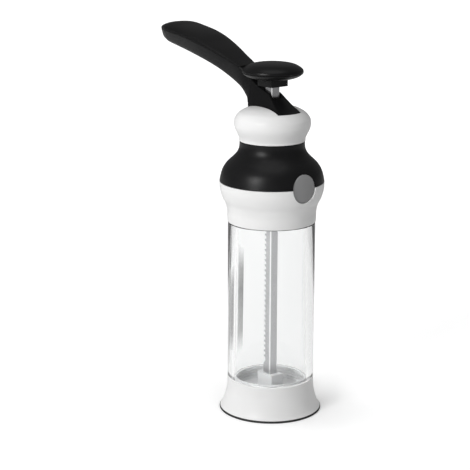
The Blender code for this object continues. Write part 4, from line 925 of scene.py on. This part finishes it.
def lever_frame(kinds):
    stations = frame_stations()
    sections = [lever_section(*row) for row in monotone(stations, finer(stations, 140))]
    bm = bmesh.new()
    add_loft(bm, sections)
    body = mesh_object("lever_frame_smooth", bm)
    front = PIVOT_X + 2 * PIVOT_RADIUS + RUN_GAP
    outline = (
        (front, DECK_Z - DECK_DEPTH / 2), (front, PIVOT_Z - PIVOT_RADIUS),
        (PIVOT_X, PIVOT_Z - PIVOT_DROP), (PAWL_X, ARM_BOTTOM_Z),
        (ARM_BACK_X, PAWL_Z), (ARM_BACK_X, DECK_Z - DECK_DEPTH / 2),
    )
    arms = bmesh.new()
    add_prism(arms, outline, -ARM_HALF_WIDTH, ARM_HALF_WIDTH, "Y")
    combine(body, arms, "UNION")
    top = DECK_Z + HEAD_RISE + 2 * SLOT_HALF_WIDTH
    swing = (PIVOT_X - ROD_HALF) * cos(LEVER_TRAVEL)
    front_low = PIVOT_X - swing + RUN_GAP + (POCKET_TOP_Z - PIVOT_Z) * sin(LEVER_TRAVEL)
    front_top = PIVOT_X - swing + RUN_GAP + (top - PIVOT_Z) * sin(LEVER_TRAVEL)
    back = -ROD_HALF - RUN_GAP - FIT_GAP
    low = POCKET_TOP_Z - OVERRUN
    way = bmesh.new()
    add_prism(way, ((back, low), (front_low, low), (front_top, top), (back, top)),
              -SLOT_HALF_WIDTH, SLOT_HALF_WIDTH, "Y")
    combine(body, way, "DIFFERENCE")
    pocket = bmesh.new()
    add_box(pocket, (POCKET_BACK_X, -SLOT_HALF_WIDTH, ARM_BOTTOM_Z - 2 * OVERRUN),
            (POCKET_FRONT_X, SLOT_HALF_WIDTH, POCKET_TOP_Z))
    combine(body, pocket, "DIFFERENCE")
    reach = ARM_HALF_WIDTH + OVERRUN
    for radius, place in ((PIVOT_RADIUS, (PIVOT_X, PIVOT_Z)), (PAWL_PIN_RADIUS, (PAWL_X, PAWL_Z))):
        hole = bmesh.new()
        add_prism(hole, circle(radius + FIT_GAP, place, 32), -reach, reach, "Y")
        combine(body, hole, "DIFFERENCE")
    finish_piece(body, "lever", "black_gloss", kinds["black_gloss"], "lever_frame")


def lever_pad(kinds):
    stations = [
        (along * LEVER_REACH, DECK_Z + low * LEVER_RISE + PAD_SEAM, DECK_Z + crown * LEVER_RISE,
         half * PAD_HALF_WIDTH)
        for along, low, crown, half in PAD_SHARES
    ]
    sections = []
    for back, low, crown, half in monotone(stations, finer(stations, 110)):
        rise = crown - low
        shoulder = low + 0.2 * rise
        turns = [pi / 2 * i / 12 for i in range(12)]
        side = [(half - PAD_SEAM, low), (half, low + PAD_SEAM)]
        side += [
            (half * cos(t) ** (2 / PAD_POWER), shoulder + (crown - shoulder) * sin(t) ** (2 / PAD_POWER))
            for t in turns
        ]
        right = [(-back, y, z) for y, z in side]
        left = [(-back, -y, z) for y, z in reversed(side)]
        sections.append(right + [(-back, 0.0, crown)] + left)
    bm = bmesh.new()
    add_loft(bm, sections)
    finish_piece(mesh_object("lever_pad_soft", bm), "lever", "black_soft", kinds["black_soft"], "lever_pad")


def spring(name, body, node, points, wire, kinds):
    """A round wire through the points, as a mesh."""
    curve = bpy.data.curves.new(name, "CURVE")
    curve.dimensions = "3D"
    curve.bevel_depth = wire
    curve.bevel_resolution = 4
    curve.use_fill_caps = True
    line = curve.splines.new("POLY")
    line.points.add(len(points) - 1)
    for place, point in zip(line.points, points):
        place.co = (*point, 1.0)
    obj = bpy.data.objects.new(name, curve)
    bpy.context.scene.collection.objects.link(obj)
    graph = bpy.context.evaluated_depsgraph_get()
    mesh = bpy.data.meshes.new_from_object(obj.evaluated_get(graph))
    bpy.data.objects.remove(obj)
    bpy.data.curves.remove(curve)
    obj = bpy.data.objects.new(name, mesh)
    bpy.context.scene.collection.objects.link(obj)
    return finish_piece(obj, body, "spring_steel", kinds["spring_steel"], node)


def coil(start, direction, side, length, radius, turns):
    """Points along a helix about a straight line."""
    direction, side = Vector(direction), Vector(side)
    other = direction.cross(side)
    count = turns * SPRING_POINTS
    points = []
    for i in range(count + 1):
        turn = 2 * pi * i / SPRING_POINTS
        across = side * (radius * cos(turn)) + other * (radius * sin(turn))
        points.append(Vector(start) + direction * (length * i / count) + across)
    return points


def springs(kinds):
    radius, wire, turns, pitch, leg = LEVER_SPRING
    length = turns * pitch
    points = coil((PIVOT_X, -length / 2, PIVOT_Z), (0, 1, 0), (1, 0, 0), length, radius, turns)
    start = points[0] + (points[0] - points[1]).normalized() * leg
    end = points[-1] + (points[-1] - points[-2]).normalized() * leg
    spring("lever_spring_wire", "head", "lever_return_spring", [start] + points + [end], wire, kinds)
    radius, wire, turns = PAWL_SPRING
    low = PAWL_Z + PAWL_THICKNESS + wire + FIT_GAP
    high = POCKET_TOP_Z - wire - FIT_GAP
    x = PAWL_X - PAWL_TAIL + radius + wire
    points = coil((x, 0.0, low), (0, 0, 1), (1, 0, 0), high - low, radius, turns)
    spring("pawl_spring_wire", "lever", "drive_pawl_spring", points, wire, kinds)
    radius, wire, turns = BUTTON_SPRING
    start = CHEEK_HALF_LENGTH + wire
    end = BUTTON_FACE_X - BUTTON_THICKNESS - wire - FIT_GAP
    points = coil((start, 0.0, SEAM_Z - BUTTON_SPRING_DROP), (1, 0, 0), (0, 0, -1), end - start,
                  radius, turns)
    piece = spring("button_spring_wire", "button", "button_spring", points, wire, kinds)
    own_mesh(piece)


# Studio.


def camera():
    data = bpy.data.cameras.new("camera")
    data.lens = LENS
    data.sensor_width = SENSOR
    data.shift_x = -HALF_PIXEL
    data.shift_y = HALF_PIXEL
    data.clip_start = 0.05
    data.clip_end = 50.0
    ahead = Vector(CAMERA_AHEAD)
    right = ahead.cross(Vector((0, 0, 1)))
    forward = ahead * cos(CAMERA_DOWN) - Vector((0, 0, 1)) * sin(CAMERA_DOWN)
    up = right.cross(forward)
    along, across = cos(CAMERA_ROLL), sin(CAMERA_ROLL)
    right, up = right * along + up * across, up * along - right * across
    obj = bpy.data.objects.new("camera", data)
    bpy.context.scene.collection.objects.link(obj)
    matrix = Matrix((right, up, -forward)).transposed().to_4x4()
    matrix.translation = Vector(CAMERA_PLACE)
    obj.matrix_world = matrix
    bpy.context.scene.camera = obj


def area_lamp(name, direction, size, power, target=(0.0, 0.0, 0.13)):
    """A soft rectangular lamp that faces the target from a direction."""
    data = bpy.data.lights.new(name, "AREA")
    data.shape = "RECTANGLE"
    data.size, data.size_y = size
    data.energy = power
    obj = bpy.data.objects.new(name, data)
    bpy.context.scene.collection.objects.link(obj)
    direction = Vector(direction).normalized()
    obj.location = Vector(target) + direction * LAMP_DISTANCE
    obj.rotation_mode = "QUATERNION"
    obj.rotation_quaternion = (-direction).to_track_quat("-Z", "Y")
    return obj


def computed(tree, operation, first, second):
    """A value worked out from two others. Either may be a socket."""
    node = tree.nodes.new("ShaderNodeMath")
    node.operation = operation
    for socket, value in zip(node.inputs, (first, second)):
        if isinstance(value, (int, float)):
            socket.default_value = value
        else:
            tree.links.new(value, socket)
    return node.outputs[0]


def background(tree, strength):
    node = tree.nodes.new("ShaderNodeBackground")
    node.inputs["Color"].default_value = (1.0, 1.0, 1.0, 1.0)
    node.inputs["Strength"].default_value = strength
    return node.outputs[0]


def shader_mix(tree, factor, first, second):
    mix = tree.nodes.new("ShaderNodeMixShader")
    for socket, value in zip(mix.inputs, (factor, first, second)):
        tree.links.new(value, socket)
    return mix.outputs[0]


def white_world():
    """White behind the object, dimmer as a light, and dimmer still in reflections."""
    world = bpy.data.worlds.new("studio")
    bpy.context.scene.world = world
    world.use_nodes = True
    tree = world.node_tree
    tree.nodes.clear()
    out = tree.nodes.new("ShaderNodeOutputWorld")
    path = tree.nodes.new("ShaderNodeLightPath")
    seen = computed(tree, "MAXIMUM", path.outputs["Is Camera Ray"], path.outputs["Is Transmission Ray"])
    light = shader_mix(tree, path.outputs["Is Glossy Ray"], background(tree, WORLD_LIGHT),
                       background(tree, WORLD_SHEEN))
    tree.links.new(shader_mix(tree, seen, light, background(tree, 1.0)), out.inputs[0])


def floor_material():
    """White paper. Where the camera sees it straight or through the barrel it is lit up to white, less so
    next to the foot, where the dimmer glow is a painted shadow around the base.
    """
    material = bpy.data.materials.new("floor_white")
    material.use_nodes = True
    tree = material.node_tree
    tree.nodes.clear()
    out = tree.nodes.new("ShaderNodeOutputMaterial")
    paper = tree.nodes.new("ShaderNodeBsdfDiffuse")
    paper.inputs["Color"].default_value = (FLOOR_COLOUR, FLOOR_COLOUR, FLOOR_COLOUR, 1.0)
    path = tree.nodes.new("ShaderNodeLightPath")
    place = tree.nodes.new("ShaderNodeNewGeometry")
    far = tree.nodes.new("ShaderNodeVectorMath")
    far.operation = "LENGTH"
    tree.links.new(place.outputs["Position"], far.inputs[0])
    lift = ranged(tree, far.outputs["Value"], FLOOR_GLOW_NEAR, FLOOR_GLOW_FAR, *FLOOR_FADE_REACH)
    # Painted shadow: the glow drops close to the foot of the press.
    painted_shadow = ranged(tree, far.outputs["Value"], FLOOR_GLOW_PAINTED_SHADOW - FLOOR_GLOW_NEAR, 0.0, *FLOOR_PAINTED_SHADOW_REACH)
    lift = computed(tree, "ADD", lift, painted_shadow)
    through = computed(tree, "MULTIPLY", path.outputs["Is Transmission Ray"], BARREL_GLOW_SHARE)
    seen = computed(tree, "MAXIMUM", path.outputs["Is Camera Ray"], through)
    glow = tree.nodes.new("ShaderNodeEmission")
    tree.links.new(computed(tree, "MULTIPLY", seen, lift), glow.inputs["Strength"])
    add = tree.nodes.new("ShaderNodeAddShader")
    tree.links.new(paper.outputs[0], add.inputs[0])
    tree.links.new(glow.outputs[0], add.inputs[1])
    tree.links.new(add.outputs[0], out.inputs[0])
    return material


def painted_band_card(name, start, turn, distance, width, low, high, shades):
    """A glowing grey card to the side of the barrel, which is only seen through the clear wall, where it
    puts painted dark bands.
    """
    ahead = Vector(CAMERA_AHEAD)
    left = Vector((0, 0, 1)).cross(ahead)
    look = ahead * cos(turn) + left * sin(turn)
    side = Vector((0, 0, 1)).cross(look)
    centre = left * start + look * distance
    bm = bmesh.new()
    heights = [low + (high - low) * i / (len(shades) - 1) for i in range(len(shades))]
    rows = [
        [bm.verts.new(centre + side * (width * s) + Vector((0, 0, z))) for s in (-0.5, 0.5)]
        for z in heights
    ]
    for first, second in zip(rows, rows[1:]):
        bm.faces.new((first[0], first[1], second[1], second[0]))
    card = mesh_object(name, bm)
    material = bpy.data.materials.new(name)
    material.use_nodes = True
    tree = material.node_tree
    tree.nodes.clear()
    out = tree.nodes.new("ShaderNodeOutputMaterial")
    glow = tree.nodes.new("ShaderNodeEmission")
    split = tree.nodes.new("ShaderNodeSeparateXYZ")
    tree.links.new(placed(tree), split.inputs[0])
    ramp = tree.nodes.new("ShaderNodeValToRGB")
    while len(ramp.color_ramp.elements) < len(shades):
        ramp.color_ramp.elements.new(0.5)
    for i, (stop, shade) in enumerate(zip(ramp.color_ramp.elements, shades)):
        stop.position = i / (len(shades) - 1)
        stop.color = (shade, shade, shade, 1.0)
    tree.links.new(ranged(tree, split.outputs["Z"], 0.0, 1.0, low, high), ramp.inputs[0])
    tree.links.new(ramp.outputs["Color"], glow.inputs["Color"])
    tree.links.new(glow.outputs[0], out.inputs[0])
    card.data.materials.append(material)
    card.visible_camera = False
    card.visible_diffuse = False
    card.visible_glossy = False
    card.visible_shadow = False


def studio():
    white_world()
    bm = bmesh.new()
    bmesh.ops.create_circle(bm, cap_ends=True, segments=96, radius=FLOOR_RADIUS)
    floor = mesh_object("floor", bm)
    floor.location.z = -FLOOR_DROP
    floor.data.materials.append(floor_material())
    painted_band_card("painted_band_far", *PAINTED_BAND_FAR)
    painted_band_card("painted_band_near", *PAINTED_BAND_NEAR)
    area_lamp("key", (0.20, -0.90, 0.42), (0.35, 0.5), KEY_POWER)
    left = area_lamp("left", (-0.85, -0.50, 0.45), (0.6, 0.8), LEFT_POWER)
    left.visible_glossy = False
    area_lamp("top", (0.1, -0.1, 1.0), (0.9, 0.9), TOP_POWER, target=(0.0, 0.0, 0.2))


def main():
    kinds = make_materials()
    foot_ring(kinds)
    base_ring(kinds)
    barrel(kinds)
    lower_housing(kinds)
    grip_band(kinds)
    upper_cap(kinds)
    release_button(kinds)
    rack_rod(kinds)
    plunger(kinds)
    knob(kinds)
    lever_frame(kinds)
    lever_pad(kinds)
    springs(kinds)
    slots = {row["node"]: row["material_slot"] for row in frame["record"]["subparts"]}
    for name, obj in NODES.items():
        obj.data.materials.clear()
        obj.data.materials.append(kinds[slots[name]])
    camera()
    studio()
    bpy.context.scene.view_settings.view_transform = "Standard"


main()
